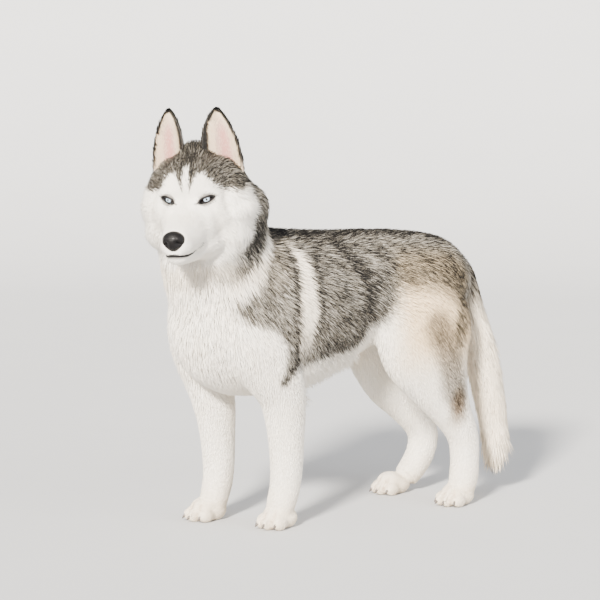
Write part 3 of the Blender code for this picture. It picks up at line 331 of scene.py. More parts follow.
def apply_modifiers(piece):
    """Bakes a piece's modifiers into its mesh."""
    graph = bpy.context.evaluated_depsgraph_get()
    baked = bpy.data.meshes.new_from_object(piece.evaluated_get(graph))
    piece.modifiers.clear()
    piece.data = baked


def corners(piece):
    """A mesh's points as an array."""
    mesh = piece.data
    flat = np.empty(len(mesh.vertices) * 3, np.float32)
    mesh.vertices.foreach_get("co", flat)
    return flat.reshape(-1, 3).astype(float)


def place_corners(piece, points):
    piece.data.vertices.foreach_set("co", np.asarray(points, np.float32).ravel())
    piece.data.update()


def point_normals(piece):
    flat = np.empty(len(piece.data.vertices) * 3, np.float32)
    piece.data.vertex_normals.foreach_get("vector", flat)
    return flat.reshape(-1, 3).astype(float)


def unit(vectors):
    return vectors / (np.linalg.norm(vectors, axis=-1, keepdims=True) + 1e-9)


def soft(low, high, value):
    """Rises smoothly from 0 at low to 1 at high."""
    share = np.clip((value - low) / (high - low), 0.0, 1.0)
    return share * share * (3 - 2 * share)


def to_head(points):
    matrix = np.array(HEAD_BACK)
    return points @ matrix[:3, :3].T + matrix[:3, 3]


def from_head(points):
    matrix = np.array(HEAD)
    return points @ matrix[:3, :3].T + matrix[:3, 3]


def to_place(points, place):
    matrix = np.array(place.inverted())
    return points @ matrix[:3, :3].T + matrix[:3, 3]


def fill_in(rows, step):
    """Rows along a smooth curve through the given rows, about one step apart."""
    result = []
    last = len(rows) - 1
    for index in range(last):
        before, start = rows[max(index - 1, 0)], rows[index]
        end, after = rows[index + 1], rows[min(index + 2, last)]
        length = math.sqrt(sum((b - a) ** 2 for a, b in zip(start[:3], end[:3])))
        count = max(1, round(length / step))
        for part in range(count):
            t = part / count
            result.append(tuple(
                0.5 * (2 * q + (r - p) * t + (2 * p - 5 * q + 4 * r - s) * t ** 2
                       + (3 * q - p - 3 * r + s) * t ** 3)
                for p, q, r, s in zip(before, start, end, after)))
    result.append(rows[last])
    return result


def limb_places(rows, step):
    """Along a path: its middle, and the two half axes of the hoop square to it."""
    smooth = fill_in(rows, step)
    places = []
    for index, row in enumerate(smooth):
        ahead = Vector(smooth[min(index + 1, len(smooth) - 1)][:3])
        behind = Vector(smooth[max(index - 1, 0)][:3])
        along = (ahead - behind).normalized()
        side = (Vector((1, 0, 0)) - along * along.x).normalized()
        places.append((Vector(row[:3]), side * row[3], along.cross(side) * row[4]))
    return places


def add_tube(bm, places, sides=24, frame_matrix=Matrix(), caps=True):
    """Bridges hoops, each given by its middle and two half axes, into a closed tube."""
    before = None
    for middle, side, out in places:
        along = side.cross(out).normalized()
        hoop_matrix = Matrix((side, out, along)).transposed().to_4x4()
        hoop_matrix.translation = middle
        hoop = bmesh.ops.create_circle(bm, cap_ends=False, segments=sides, radius=1.0,
                                       matrix=frame_matrix @ hoop_matrix)["verts"]
        rim = list({edge for vert in hoop for edge in vert.link_edges})
        if before is None and caps:
            bmesh.ops.edgenet_fill(bm, edges=rim)
        if before is not None:
            bmesh.ops.bridge_loops(bm, edges=before + rim)
        before = rim
    if caps:
        bmesh.ops.edgenet_fill(bm, edges=before)


def add_ball(bm, centre, radii, frame_matrix=Matrix(), turn=Matrix(), fine=(24, 16)):
    """An ellipsoid, turned about its own centre."""
    place = frame_matrix @ Matrix.Translation(centre) @ turn @ Matrix.Diagonal((*radii, 1.0))
    bmesh.ops.create_uvsphere(bm, u_segments=fine[0], v_segments=fine[1], radius=1.0,
                              matrix=place)


def leg_rows(end, side):
    if end == "hind":
        return HIND_ROWS[side]
    sign = 1 if side == "left" else -1
    return [(sign * x, y - FORE_AHEAD[side] * min(1.0, max(0.0, (SHOULDER_Z - z) / 0.15)), z, *halves)
            for x, y, z, *halves in FORE_ROWS]


def fuse(bm, name, voxel, rounds):
    """One smooth closed surface round closed shells."""
    bmesh.ops.recalc_face_normals(bm, faces=bm.faces)
    piece = as_piece(name, bm)
    remesh = piece.modifiers.new("fuse", "REMESH")
    remesh.mode = "VOXEL"
    remesh.voxel_size = voxel
    remesh.use_smooth_shade = True
    smooth = piece.modifiers.new("smooth", "SMOOTH")
    smooth.factor = 0.5
    smooth.iterations = rounds
    apply_modifiers(piece)
    return piece


class Groom:
    """Way, length, depth and width of the coat anywhere, blended from the guides."""

    def __init__(self):
        rows = []
        for x, y, z, dx, dy, dz, *sizes in BODY_GUIDES:
            for sign in ((1, -1) if x else (1,)):
                rows.append((sign * x, y, z, sign * dx, dy, dz, *sizes))
        spots = np.array([row[:3] for row in rows])
        ways = np.array([row[3:6] for row in rows], float)
        sizes = np.array([row[6:] for row in rows], float)
        head_rows = []
        for x, y, z, dx, dy, dz, *more in HEAD_GUIDES:
            for sign in ((1, -1) if x else (1,)):
                head_rows.append((sign * x, y, z, sign * dx, dy, dz, *more))
        turn = np.array(HEAD)[:3, :3]
        head_spots = from_head(np.array([row[:3] for row in head_rows], float))
        head_ways = np.array([row[3:6] for row in head_rows], float) @ turn.T
        self.spots = np.concatenate([spots, head_spots])
        self.ways = unit(np.concatenate([ways, head_ways]))
        self.sizes = np.concatenate([sizes, np.array([row[6:] for row in head_rows])])
        self.reach = np.concatenate([np.full(len(rows), 1.0), np.full(len(head_rows), 0.55)])

    def at(self, points):
        """Ways and sizes, in metres, at each point."""
        ways = np.empty((len(points), 3))
        sizes = np.empty((len(points), 3))
        for start in range(0, len(points), 20000):
            part = points[start:start + 20000]
            gap = np.linalg.norm(part[:, None] - self.spots[None], axis=2) / self.reach
            weight = 1.0 / (gap + 0.008) ** 4
            weight /= weight.sum(1, keepdims=True)
            ways[start:start + 20000] = weight @ self.ways
            sizes[start:start + 20000] = weight @ self.sizes
        return unit(ways), sizes / 1000


GROOM = Groom()


def from_path(points, path):
    """Distance of each point from a path, and how far along it the nearest spot is."""
    path = np.asarray(path, float)
    best = np.full(len(points), 9.0)
    along = np.zeros(len(points))
    for index, (start, end) in enumerate(zip(path[:-1], path[1:])):
        span = end - start
        share = np.clip(((points - start) @ span) / (span @ span), 0.0, 1.0)
        gap = np.linalg.norm(points - (start + share[:, None] * span), axis=1)
        nearer = gap < best
        best = np.where(nearer, gap, best)
        along = np.where(nearer, (index + share) / (len(path) - 1), along)
    return best, along


def inside(points, outline):
    """Signed distance of flat points from an outline, above 0 inside it."""
    closed = np.asarray(outline + outline[:1], float)
    gap, _ = from_path(points, closed)
    crossings = np.zeros(len(points), int)
    for (ay, az), (by, bz) in zip(closed[:-1], closed[1:]):
        over = (az > points[:, 1]) != (bz > points[:, 1])
        meets = ay + (points[:, 1] - az) / (bz - az + 1e-12) * (by - ay)
        crossings += over & (points[:, 0] < meets)
    return np.where(crossings % 2 == 1, gap, -gap)


def ripple(points, size, seed=0.0):
    """Smooth noise from -1 to 1 with features of about this size."""
    return np.array([noise.noise(Vector(point) / size + Vector((seed, 0, 0))) for point in points])


def tail_share(points):
    """1 on the tail, 0 on the body and on the far hock beside it."""
    return soft(0.300, 0.322, points[:, 1]) * soft(-0.055, -0.040, points[:, 0])


def markings_and_shade(points, jitter=0.0):
    """Shares of grey, dark, cream and tan in the coat at each point, with painted shade under the chin and between
    the toes.
    """
    points = points + DICE.normal(0, jitter, points.shape) if jitter else points
    broad = ripple(points, 0.035)
    fine = ripple(points, 0.012, 9.0)
    side = points[:, 1:3] + np.stack([broad, fine], 1) * 0.003
    head = to_head(points)
    mirrored = np.abs(head * [1, 0, 0]) + head * [0, 1, 1]
    on_head = soft(-0.135, -0.115, head[:, 2]) * soft(0.145, 0.115, head[:, 1])
    on_head *= soft(0.17, 0.14, mirrored[:, 0])
    neck_side = soft(0.45, 0.50, points[:, 2]) * soft(-0.14, -0.18, points[:, 1])

    hip_side = soft(0.0, 0.09, points[:, 1])
    reach = inside(side, SADDLE)
    saddle = soft(-0.010, 0.010, reach) * (1 - hip_side) + soft(-0.026, 0.024, reach) * hip_side
    gap, along = from_path(side, STRIPE)
    stripe_half = np.interp(along, [0, 0.25, 0.6, 0.9, 1.0], [0.006, 0.014, 0.020, 0.016, 0.010])
    stripe = soft(1.25, 0.75, gap / stripe_half) * np.interp(along, [0, 0.7, 1.0], [1, 1, 0.3])
    off_spine = soft(0.035, 0.055, np.abs(points[:, 0]))
    stripe = stripe * off_spine
    grey = saddle * (1 - stripe)
    edge = soft(0.012, 0.003, from_path(side, EDGE_BEFORE_STRIPE)[0]) * off_spine
    behind = soft(0.022, 0.004, from_path(side, EDGE_BEHIND_STRIPE)[0])
    diagonal = soft(0.030, 0.006, from_path(side, DARK_DIAGONAL)[0])
    flank = soft(0.034, 0.008, from_path(side, DARK_FLANK)[0])
    gap, along = from_path(points, SPINE)
    spine_half = np.interp(along, [0, 0.3, 0.7, 1.0], [0.066, 0.044, 0.046, 0.052])
    spine = soft(1.3, 0.4, gap / spine_half) * np.interp(along, [0, 0.4, 0.75, 1], [1, 1, 0.95, 0.85])
    ahead = soft(-0.125, -0.155, points[:, 1])
    dark = saddle * np.clip(0.30 + 0.30 * broad, 0, 1) * (1 - stripe)
    dark *= (1 - 0.20 * soft(0.03, 0.12, points[:, 1])) * (1 - 0.40 * ahead)
    saddle_patch = soft(0.075, 0.012, np.linalg.norm((side - (-0.075, 0.562)) / [1.0, 0.6], axis=1))
    for share, strength in ((edge, 0.75), (behind, 0.55), (diagonal, 0.80), (flank, 0.6), (spine, 1.0),
                            (saddle_patch, 0.9)):
        dark = np.maximum(dark, share * strength * (1 - stripe) * np.clip(0.85 + 0.3 * fine, 0, 1))
    grey = np.maximum(grey, np.maximum(edge * 0.8, spine))

    nape_gap, _ = from_path(points, NAPE)
    nape = soft(0.098, 0.055, nape_gap)
    grey = np.maximum(grey, nape * 0.9)
    dark = np.maximum(dark, soft(0.05, 0.01, nape_gap) * 0.75 + nape * 0.12)
    grey *= 1 - on_head * soft(0.08, 0.11, mirrored[:, 0]) * soft(0.110, 0.080, head[:, 1])
    band_gap, band_along = from_path(mirrored, CHEEK_BAND)
    band_half = np.interp(band_along, [0, 0.35, 0.6, 1.0], [0.044, 0.041, 0.028, 0.027])
    band = soft(1.3, 0.65, band_gap / band_half) * np.interp(band_along, [0, 0.7, 1.0], [1.0, 0.90, 0.35])
    band *= 1 - 0.85 * soft(0.35, 0.60, band_along) * (head[:, 0] < 0)
    grey = np.maximum(grey, band * 0.95)
    dark = np.maximum(dark, band * np.interp(band_along, [0, 0.35, 0.55, 1.0], [0.40, 0.62, 0.85, 0.45]))

    edge_z = np.interp(mirrored[:, 0], *CAP_EDGE) + 0.0025 * fine
    over = head[:, 2] - edge_z
    cap = soft(-0.002, 0.004, over) * on_head
    blaze = soft(0.0072, 0.0050, mirrored[:, 0] + 0.08 * np.clip(head[:, 2] - 0.03, 0, 1))
    blaze *= soft(0.062, 0.052, head[:, 2])
    cap = cap * (1 - blaze)
    grey = np.maximum(grey, cap)
    brow_line = soft(0.016, 0.002, over) * cap
    peak = soft(0.022, 0.010, mirrored[:, 0]) * cap
    dark = np.maximum(dark, cap * (0.58 + 0.2 * broad))
    dark = np.maximum(dark, np.maximum(brow_line * 0.75, peak * 0.8))
    # Painted shadow under the chin: a soft tan and dark spot below the jaw.
    chin_shadow = soft(0.032, 0.012, np.linalg.norm((head - (0, -0.020, -0.118)) / [1.2, 1.6, 0.6], axis=1))
    face = on_head * (1 - cap) * soft(0.10, 0.07, head[:, 1])
    grey *= 1 - face * (1 - band)
    dark *= 1 - face * (1 - band)

    shade, shade_along = from_path(side, THIGH_SHADE)
    thigh = soft(0.050, 0.012, shade) * soft(0.085, 0.110, np.abs(points[:, 0]))
    patch = np.linalg.norm((side - HOCK_PATCH) / [0.030, 0.054], axis=1)
    patch = soft(1.25, 0.15, patch) * soft(0.096, 0.108, np.abs(points[:, 0]))
    tail = tail_share(points)
    tail_top = tail * soft(0.36, 0.46, points[:, 2])
    grey = grey * (1 - tail) + tail_top * 0.85
    dark = np.maximum(dark * (1 - tail), tail_top * 0.50)
    rump = soft(0.034, 0.008, from_path(side, RUMP_EDGE)[0]) * np.clip(0.85 + 0.4 * fine, 0, 1)
    grey = np.maximum(grey, np.maximum(thigh * 0.55, rump * 0.80))
    dark = np.maximum(dark, rump * 0.42)
    dark = np.maximum(dark, np.maximum(thigh * 0.30, patch * 0.62))
    tan = np.maximum(patch * 0.90, thigh * 0.32)
    tan = np.maximum(tan, np.maximum(cap * 0.18, chin_shadow * 0.25))
    dark = np.maximum(dark, chin_shadow * 0.22)
    # Painted shade: tan laid into the grooves between the toes.
    toe_groove_shade = toe_gaps(points)
    tan = np.maximum(tan, toe_groove_shade * 0.60)
    toes = soft(0.050, 0.028, points[:, 2])
    dark = np.maximum(dark, soft(1.55, 1.15, eye_clear(points)))
    corner_gap, corner_along = from_path(points, [spot for spot, _, _ in MOUTH])
    corner = soft(0.0032, 0.0012, corner_gap) * soft(0.35, 0.55, np.abs(corner_along * 2 - 1))
    dark = np.maximum(dark, corner * 0.80)
    hips = soft(0.06, 0.12, points[:, 1]) * soft(0.24, 0.36, points[:, 2])
    low = soft(0.12, 0.03, points[:, 2])
    cream = 0.12 + 0.88 * hips * soft(0.045, 0.085, np.abs(points[:, 0])) + 0.15 * low + 0.18 * toes + 0.34 * tail + 0.20 * neck_side * (1 - on_head)
    cream = cream * (1 - 0.85 * face) + 0.06 * broad + 0.22 * stripe
    return {"grey": np.clip(grey, 0, 1), "dark": np.clip(dark, 0, 1),
            "cream": np.clip(cream, 0, 1), "tan": np.clip(tan, 0, 1)}


def give_shares(piece, shares):
    """Stores named shares on a mesh's points for its finish to read."""
    for name, values in shares.items():
        layer = piece.data.attributes.new(name, "FLOAT", "POINT")
        layer.data.foreach_set("value", np.asarray(values, np.float32))


def head_shapes(bm):
    """Muzzle, jaw and skull, out to the tips of their coat."""
    for rows in (MUZZLE_ROWS, JAW_ROWS):
        add_tube(bm, [(Vector((0, -ahead, (top + low) / 2)), Vector((half, 0, 0)),
                       Vector((0, 0, (top - low) / 2))) for ahead, top, low, half in rows],
                 28, HEAD)
    for x, y, z, *radii in MIDDLE_BALLS:
        add_ball(bm, Vector((x, y, z)), radii, HEAD)
    for sign in (-1, 1):
        for x, y, z, *radii in PAIRED_BALLS:
            add_ball(bm, Vector((sign * x, y, z)), radii, HEAD)
    add_tube(bm, limb_places(NECK_ROWS, 0.015), 28)


def tree_of(piece):
    return BVHTree.FromObject(piece, bpy.context.evaluated_depsgraph_get())


def nearest_spots(tree, points):
    """The spots of a surface nearest to the points, and how it faces there."""
    spots, facing = np.empty_like(points), np.empty_like(points)
    for index, point in enumerate(points):
        spot, normal, _, _ = tree.find_nearest(Vector(point))
        spots[index] = spot
        facing[index] = normal
    return spots, facing


def stroke(piece, strokes):
    """Pushes a head's surface in or out round each stroke, on both sides."""
    points, facing = corners(piece), point_normals(piece)
    head = to_head(points)
    push = np.zeros(len(points))
    for x, y, z, reach, amount in strokes:
        for sign in ((-1, 1) if x else (1,)):
            gap = np.linalg.norm(head - (sign * x, y, z), axis=1)
            push += amount * np.exp(-(gap / reach) ** 2)
    place_corners(piece, points + facing * push[:, None])


def refine(skin, shapes, where, voxel, rounds, cuts, carve):
    """Gives part of the skin a finer mesh, fitted to its own finely fused shapes."""
    bm = bmesh.new()
    shapes(bm)
    fine = fuse(bm, "fine_part", voxel, rounds)
    carve(fine)
    tree = tree_of(fine)
    share = where(corners(skin))
    bm = bmesh.new()
    bm.from_mesh(skin.data)
    near = [edge for edge in bm.edges if share[edge.verts[0].index] > 0]
    bmesh.ops.subdivide_edges(bm, edges=near, cuts=cuts, use_grid_fill=True)
    bmesh.ops.triangulate(bm, faces=[face for face in bm.faces if len(face.verts) > 4])
    bm.to_mesh(skin.data)
    bm.free()
    points = corners(skin)
    share = where(points)
    chosen = share > 0
    spots, _ = nearest_spots(tree, points[chosen])
    points[chosen] += (spots - points[chosen]) * share[chosen, None]
    place_corners(skin, points)
    bpy.data.objects.remove(fine, do_unlink=True)


def paw_turn(name):
    """A paw's own frame, its toes towards -y."""
    spot, heading = PAWS[name]
    return Matrix.Translation(spot) @ Matrix.Rotation(heading, 4, "Z")


def add_paws(bm, top):
    """The legs up to a height, with their paws and toes."""
    for name in PAWS:
        end, side = name.split("_")
        places = limb_places(leg_rows(end, side), 0.015)
        add_tube(bm, [place for place in places if place[0].z < top], 22)
        turn = paw_turn(name)
        add_ball(bm, Vector((0, 0.004, 0.018)), (0.0275, 0.034, 0.023), turn)
        add_ball(bm, Vector((0, -0.008, 0.026)), (0.0265, 0.030, 0.020), turn)
        for across, forward in zip(TOE_SIDEWAYS, TOE_FORWARD):
            add_ball(bm, Vector((across, -forward, 0.0130)), TOE_RADII, turn,
                     Matrix.Rotation(across * TOE_SPREAD, 4, "Z"))


def toe_gaps(points):
    """1 in the grooves between the toes, 0 away from them."""
    share = np.zeros(len(points))
    for name in PAWS:
        local = to_place(points, paw_turn(name))
        front = soft(-0.012, -0.030, local[:, 1]) * soft(-0.075, -0.065, local[:, 1])
        front *= soft(0.048, 0.030, local[:, 2]) * (np.abs(local[:, 0]) < 0.045)
        for across in TOE_GAPS:
            lane = across * (1 - TOE_SPREAD * (local[:, 1] + 0.025))
            share = np.maximum(share, front * np.exp(-((local[:, 0] - lane) / 0.0027) ** 2))
    return share


def carve_toes(piece):
    points = corners(piece)
    place_corners(piece, points - point_normals(piece) * (toe_gaps(points) * 0.0042)[:, None])


def paw_share(points):
    """1 on the paws, falling to 0 up the pasterns."""
    return soft(0.090, 0.052, points[:, 2])


def face_share(points):
    """1 on the face, falling to 0 behind the cheeks and below the chin."""
    head = to_head(points)
    return soft(0.045, 0.025, head[:, 1]) * soft(-0.128, -0.112, head[:, 2])


def eye_clear(points):
    """How far each point is from the nearest eye's opening, as a share of its size."""
    spreads = []
    for sign in (-1, 1):
        local = to_place(points, eye_place(sign))
        wide = np.minimum(np.abs(local[:, 0]) / LID_EDGE[0], 1.0)
        tall = LID_EDGE[1] * 0.82 * (1 - wide ** 2) ** 0.75
        spread = np.hypot(np.abs(local[:, 0]) / LID_EDGE[0], local[:, 2] / (tall + 0.0020))
        spreads.append(np.where(np.linalg.norm(local, axis=1) < 0.03, spread, 9.0))
    return np.minimum(*spreads)


def nose_clear(points):
    local = (to_head(points) - np.array(NOSE_CENTRE)) / (np.array(NOSE_RADII) + 0.0012)
    return np.linalg.norm(local, axis=1)


def make_skin():
    """Trunk, neck, legs, paws, head and tail in one surface, inside the coat's outline."""
    bm = bmesh.new()
    trunk = [(y, (top + bottom) / 2, 0.0, (top - bottom) / 2, half)
             for y, top, bottom, half in TRUNK_ROWS]
    add_tube(bm, [(Vector((0, y, middle)), Vector((half, 0, 0)), Vector((0, 0, tall)))
                  for y, middle, _, tall, half in fill_in(trunk, 0.02)], 32)
    head_shapes(bm)
    add_paws(bm, 1.0)
    places = limb_places(TAIL_ROWS, 0.015)
    shares = np.interp(np.linspace(0, 1, len(places)), *TAIL_SKIN_SHARES)
    add_tube(bm, [(middle, side * share, out * share)
                  for (middle, side, out), share in zip(places, shares)], 20)
    skin = fuse(bm, "skin", 0.0053, 6)
    refine(skin, head_shapes, face_share, 0.0017, 34, 2, lambda fine: stroke(fine, HEAD_STROKES))
    refine(skin, lambda bm: add_paws(bm, 0.15), paw_share, 0.0022, 12, 1, carve_toes)
    points = corners(skin)
    depth = GROOM.at(points)[1][:, 1]
    depth *= soft(0.330, 0.300, points[:, 1] + 0.25 * np.abs(points[:, 0]))
    points -= point_normals(skin) * depth[:, None] * 0.85
    points[:, 2] = np.maximum(points[:, 2], 0.0006)
    head = to_head(points)
    head[:, 1] += 0.010 * soft(0.90, 0.70, nose_clear(points)) * (head[:, 1] < -0.080)
    points = from_head(head)
    for sign in (-1, 1):
        place = eye_place(sign)
        local = to_place(points, place)
        over = np.linalg.norm(local, axis=1)
        near = (over < EYE_RADIUS + LID_RISE) & (local[:, 1] < 0.002)
        local[near] *= ((EYE_RADIUS + LID_RISE) / over[near])[:, None]
        spread = np.sqrt((local[:, 0] / 0.0120) ** 2 + (local[:, 2] / 0.0050) ** 2)
        pit = soft(1.15, 0.85, spread) * (local[:, 1] < 0) * (over < 0.03)
        local[:, 1] += np.maximum(0.0, -0.004 - local[:, 1]) * pit
        matrix = np.array(place)
        points = local @ matrix[:3, :3].T + matrix[:3, 3]
    place_corners(skin, points)
    print("skin", len(skin.data.polygons), "faces")
    return skin


skin = make_skin()
SKIN_TREE = tree_of(skin)


def unwrapped_copy(piece, faces=9000):
    """A coarse copy with an unwrap, from which tufts take their places on the bake."""
    copy = piece.copy()
    copy.data = piece.data.copy()
    bpy.context.scene.collection.objects.link(copy)
    thin = copy.modifiers.new("thin", "DECIMATE")
    thin.ratio = min(1.0, faces / (2 * len(piece.data.polygons)))
    apply_modifiers(copy)
    bpy.context.view_layer.objects.active = copy
    bpy.ops.object.mode_set(mode="EDIT")
    bpy.ops.mesh.select_all(action="SELECT")
    bpy.ops.uv.smart_project(angle_limit=math.radians(66), island_margin=0.002)
    bpy.ops.object.mode_set(mode="OBJECT")
    return copy


class BakePlaces:
    """Places on the unwrap of a skin for points near it."""

    def __init__(self, piece):
        copy = unwrapped_copy(piece)
        mesh = copy.data
        mesh.calc_loop_triangles()
        self.verts = [vert.co.copy() for vert in mesh.vertices]
        self.tris = [tuple(tri.vertices) for tri in mesh.loop_triangles]
        loops = np.array([tuple(tri.loops) for tri in mesh.loop_triangles])
        flat = np.empty(len(mesh.loops) * 2, np.float32)
        mesh.uv_layers.active.data.foreach_get("uv", flat)
        self.uvs = flat.reshape(-1, 2)[loops].astype(float)
        self.tree = BVHTree.FromPolygons(self.verts, self.tris)
        bpy.data.objects.remove(copy, do_unlink=True)

    def at(self, points):
        """The unwrap's place of the spot nearest to each point."""
        places = np.empty((len(points), 2))
        for index, point in enumerate(points):
            spot, _, face, _ = self.tree.find_nearest(Vector(point))
            a, b, c = (self.verts[k] for k in self.tris[face])
            whole = (b - a).cross(c - a).length + 1e-12
            wa = (b - spot).cross(c - spot).length / whole
            wb = (a - spot).cross(c - spot).length / whole
            uv = self.uvs[face]
            places[index] = wa * uv[0] + wb * uv[1] + (1 - wa - wb) * uv[2]
        return np.clip(places, 0.002, 0.998)


def scatter(piece, wanted, density):
    """Roots spread over a mesh, closer where the density is higher."""
    mesh = piece.data
    mesh.calc_loop_triangles()
    tris = np.empty(len(mesh.loop_triangles) * 3, np.int32)
    mesh.loop_triangles.foreach_get("vertices", tris)
    tris = tris.reshape(-1, 3)
    points, normals = corners(piece), point_normals(piece)
    a, b, c = points[tris[:, 0]], points[tris[:, 1]], points[tris[:, 2]]
    weight = np.linalg.norm(np.cross(b - a, c - a), axis=1) * density((a + b + c) / 3)
    total = np.cumsum(weight)
    count = int(wanted * THINNING)
    picks = (np.arange(count) + DICE.random(count)) / count * total[-1]
    face = np.minimum(np.searchsorted(total, picks), len(tris) - 1)
    u, v = DICE.random(count), DICE.random(count)
    fold = u + v > 1
    u, v = np.where(fold, 1 - u, u), np.where(fold, 1 - v, v)
    shares = np.stack([1 - u - v, u, v], 1)[:, :, None]
    roots = (points[tris[face]] * shares).sum(1)
    facing = unit((normals[tris[face]] * shares).sum(1))
    return roots, facing


def follow(tree, roots, facing, ways, lengths, rises, spans):
    """Middles, normals and ways of tufts that follow a skin from root to tip."""
    middles, normals = [roots - facing * 0.0012], [facing]
    spots, normal, way = roots, facing, ways
    for step in range(1, spans + 1):
        way = unit(way - normal * (way * normal).sum(1, keepdims=True))
        ahead = spots + way * (lengths / spans)[:, None]
        near = np.empty_like(ahead)
        turned = np.empty_like(ahead)
        for index, point in enumerate(ahead):
            spot, face_normal, _, _ = tree.find_nearest(Vector(point))
            near[index] = spot
            turned[index] = face_normal
        spots, normal = near, unit(turned + 0.6 * normal)
        share = step / spans
        middles.append(spots + normal * (rises * (1.25 * share - 0.25 * share ** 2))[:, None])
        normals.append(normal)
    return middles, normals


def grow(name, middles, normals, widths, shares, places, finish, slot):
    """Closed tufts, three-sided and pointed, along the given middles."""
    spans = len(middles) - 1
    count = len(middles[0])
    taper = {2: (0.75, 1.0), 3: (0.70, 1.0, 0.72)}[spans]
    softness = 0.38 if name == "coat_face" else SOFTNESS
    rings, faces_to = [], []
    for step in range(spans):
        along = unit(middles[step + 1] - middles[max(step - 1, 0)])
        across = unit(np.cross(normals[step], along))
        over = np.cross(along, across)
        half = (widths * taper[step] / 2)[:, None]
        rings += [middles[step] - across * half - over * half * 0.45,
                  middles[step] + across * half - over * half * 0.45,
                  middles[step] + over * half * 0.85]
        faces_to += [normals[step] * softness + way * (1 - softness)
                     for way in (-across * 0.8 - over * 0.5, across * 0.8 - over * 0.5, over)]
    points = np.stack(rings + [middles[-1]], 1)
    shading = unit(np.stack(faces_to + [normals[-1]], 1)).astype(np.float32)
    faces = [(0, 2, 1)]
    for step in range(spans - 1):
        for k in range(3):
            near, after = 3 * step + k, 3 * step + (k + 1) % 3
            faces += [(near, after, after + 3), (near, after + 3, near + 3)]
    tip = 3 * spans
    faces += [(tip - 3 + k, tip - 3 + (k + 1) % 3, tip) for k in range(3)]
    faces = np.array(faces)
    mesh = bpy.data.meshes.new(name)
    every = (faces[None] + (np.arange(count) * (tip + 1))[:, None, None]).reshape(-1, 3)
    mesh.from_pydata(points.reshape(-1, 3), [], every)
    mesh.shade_smooth()
    layer = mesh.attributes.new("custom_normal", "FLOAT_VECTOR", "POINT")
    layer.data.foreach_set("vector", shading.ravel())
    piece = bpy.data.objects.new(name, mesh)
    bpy.context.scene.collection.objects.link(piece)
    along = np.repeat(np.arange(spans), 3) / spans
    along = np.append(along, 1.0)
    give_shares(piece, {key: np.repeat(values, tip + 1) for key, values in shares.items()})
    give_shares(piece, {"along": np.tile(along, count)})
    patch = np.array([(math.cos(k * 2.1) * 0.0012, along[k] * 0.0028 - 0.0014)
                      for k in range(tip + 1)])
    spots = (places[:, None] + patch[None]).reshape(-1, 2)
    layer = mesh.uv_layers.new(name="OFBake")
    layer.data.foreach_set("uv", np.clip(spots[every.ravel()], 0, 1).astype(np.float32).ravel())
    return dress(piece, finish, slot)


def gather(middles, clump, pull):
    """Draws the tips of neighbouring tufts together into small locks."""
    roots = middles[0]
    leaders = DICE.choice(len(roots), max(1, len(roots) // clump), replace=False)
    tree = KDTree(len(leaders))
    for index, leader in enumerate(leaders):
        tree.insert(Vector(roots[leader]), index)
    tree.balance()
    chosen = leaders[[tree.find(Vector(root))[1] for root in roots]]
    for step in range(1, len(middles)):
        share = step / (len(middles) - 1)
        middles[step] += (middles[step][chosen] - middles[step]) * pull * share ** 1.5
    return middles


class Shade:
    """A shader value, so that maths on it reads as an expression."""

    def __init__(self, finish, socket):
        self.finish = finish
        self.socket = socket

    def math(self, operation, *others, clamp=False):
        return self.finish.node("ShaderNodeMath", {"operation": operation, "use_clamp": clamp},
                                {k: value for k, value in enumerate((self, *others))})

    def __add__(self, other):
        return self.math("ADD", other)

    def __mul__(self, other):
        return self.math("MULTIPLY", other)

    def __sub__(self, other):
        return self.math("SUBTRACT", other)

    def __rsub__(self, other):
        return self.finish.node("ShaderNodeMath", {"operation": "SUBTRACT"}, {0: other, 1: self})

    def __pow__(self, other):
        return self.math("POWER", other)

    __radd__ = __add__
    __rmul__ = __mul__

    def clamped(self):
        return self.math("ADD", 0.0, clamp=True)


class Finish:
    """A material in the making."""

    def __init__(self, name, roughness=0.5, **fixed):
        self.material = bpy.data.materials.new(name)
        self.material.use_nodes = True
        self.tree = self.material.node_tree
        self.shader = self.tree.nodes["Principled BSDF"]
        self.shader.inputs["Roughness"].default_value = roughness
        for socket, value in fixed.items():
            self.shader.inputs[socket.replace("_", " ")].default_value = value

    def node(self, kind, settings, sockets, out=0):
        """Adds a node: its settings first, then the values or links of its sockets."""
        made = self.tree.nodes.new(kind)
        for setting, value in settings.items():
            setattr(made, setting, value)
        for socket, value in sockets.items():
            if isinstance(value, Shade):
                self.tree.links.new(value.socket, made.inputs[socket])
            else:
                made.inputs[socket].default_value = value
        return Shade(self, made.outputs[out])

    def share(self, name):
        """A share stored on the mesh's points."""
        return self.node("ShaderNodeAttribute", {"attribute_name": name}, {}, "Fac")

    def place(self):
        return self.node("ShaderNodeTexCoord", {}, {}, "Object")

    def grain(self, scale, detail=3.0, rough=0.6):
        return self.node("ShaderNodeTexNoise", {}, {
            "Vector": self.place(), "Scale": scale, "Detail": detail, "Roughness": rough})

    def mix(self, share, first, second):
        """Blends two colours."""
        return self.node("ShaderNodeMix", {"data_type": "RGBA"}, {
            0: share, 6: colour(first), 7: colour(second)}, 2)

    def ramp(self, value, stops):
        """Maps a value through straight stretches between stops."""
        (low, before), (high, after) = stops
        return self.node("ShaderNodeMapRange", {"clamp": True}, {
            0: value, 1: low, 2: high, 3: float(before), 4: float(after)})

    def feed(self, socket, value):
        self.tree.links.new(value.socket, self.shader.inputs[socket])
        return self

    def bump(self, height, strength, distance):
        normal = self.node("ShaderNodeBump", {}, {
            "Height": height, "Strength": strength, "Distance": distance})
        return self.feed("Normal", normal)


def colour(value):
    """A plain colour as a socket takes it; a shader value stays as it is."""
    return value if isinstance(value, Shade) else (*value, 1.0)


WHITE = (0.94, 0.89, 0.80)
CREAM = (0.82, 0.62, 0.38)
GREY = (0.168, 0.140, 0.096)
BLACK = (0.006, 0.005, 0.004)
TAN = (0.36, 0.235, 0.13)


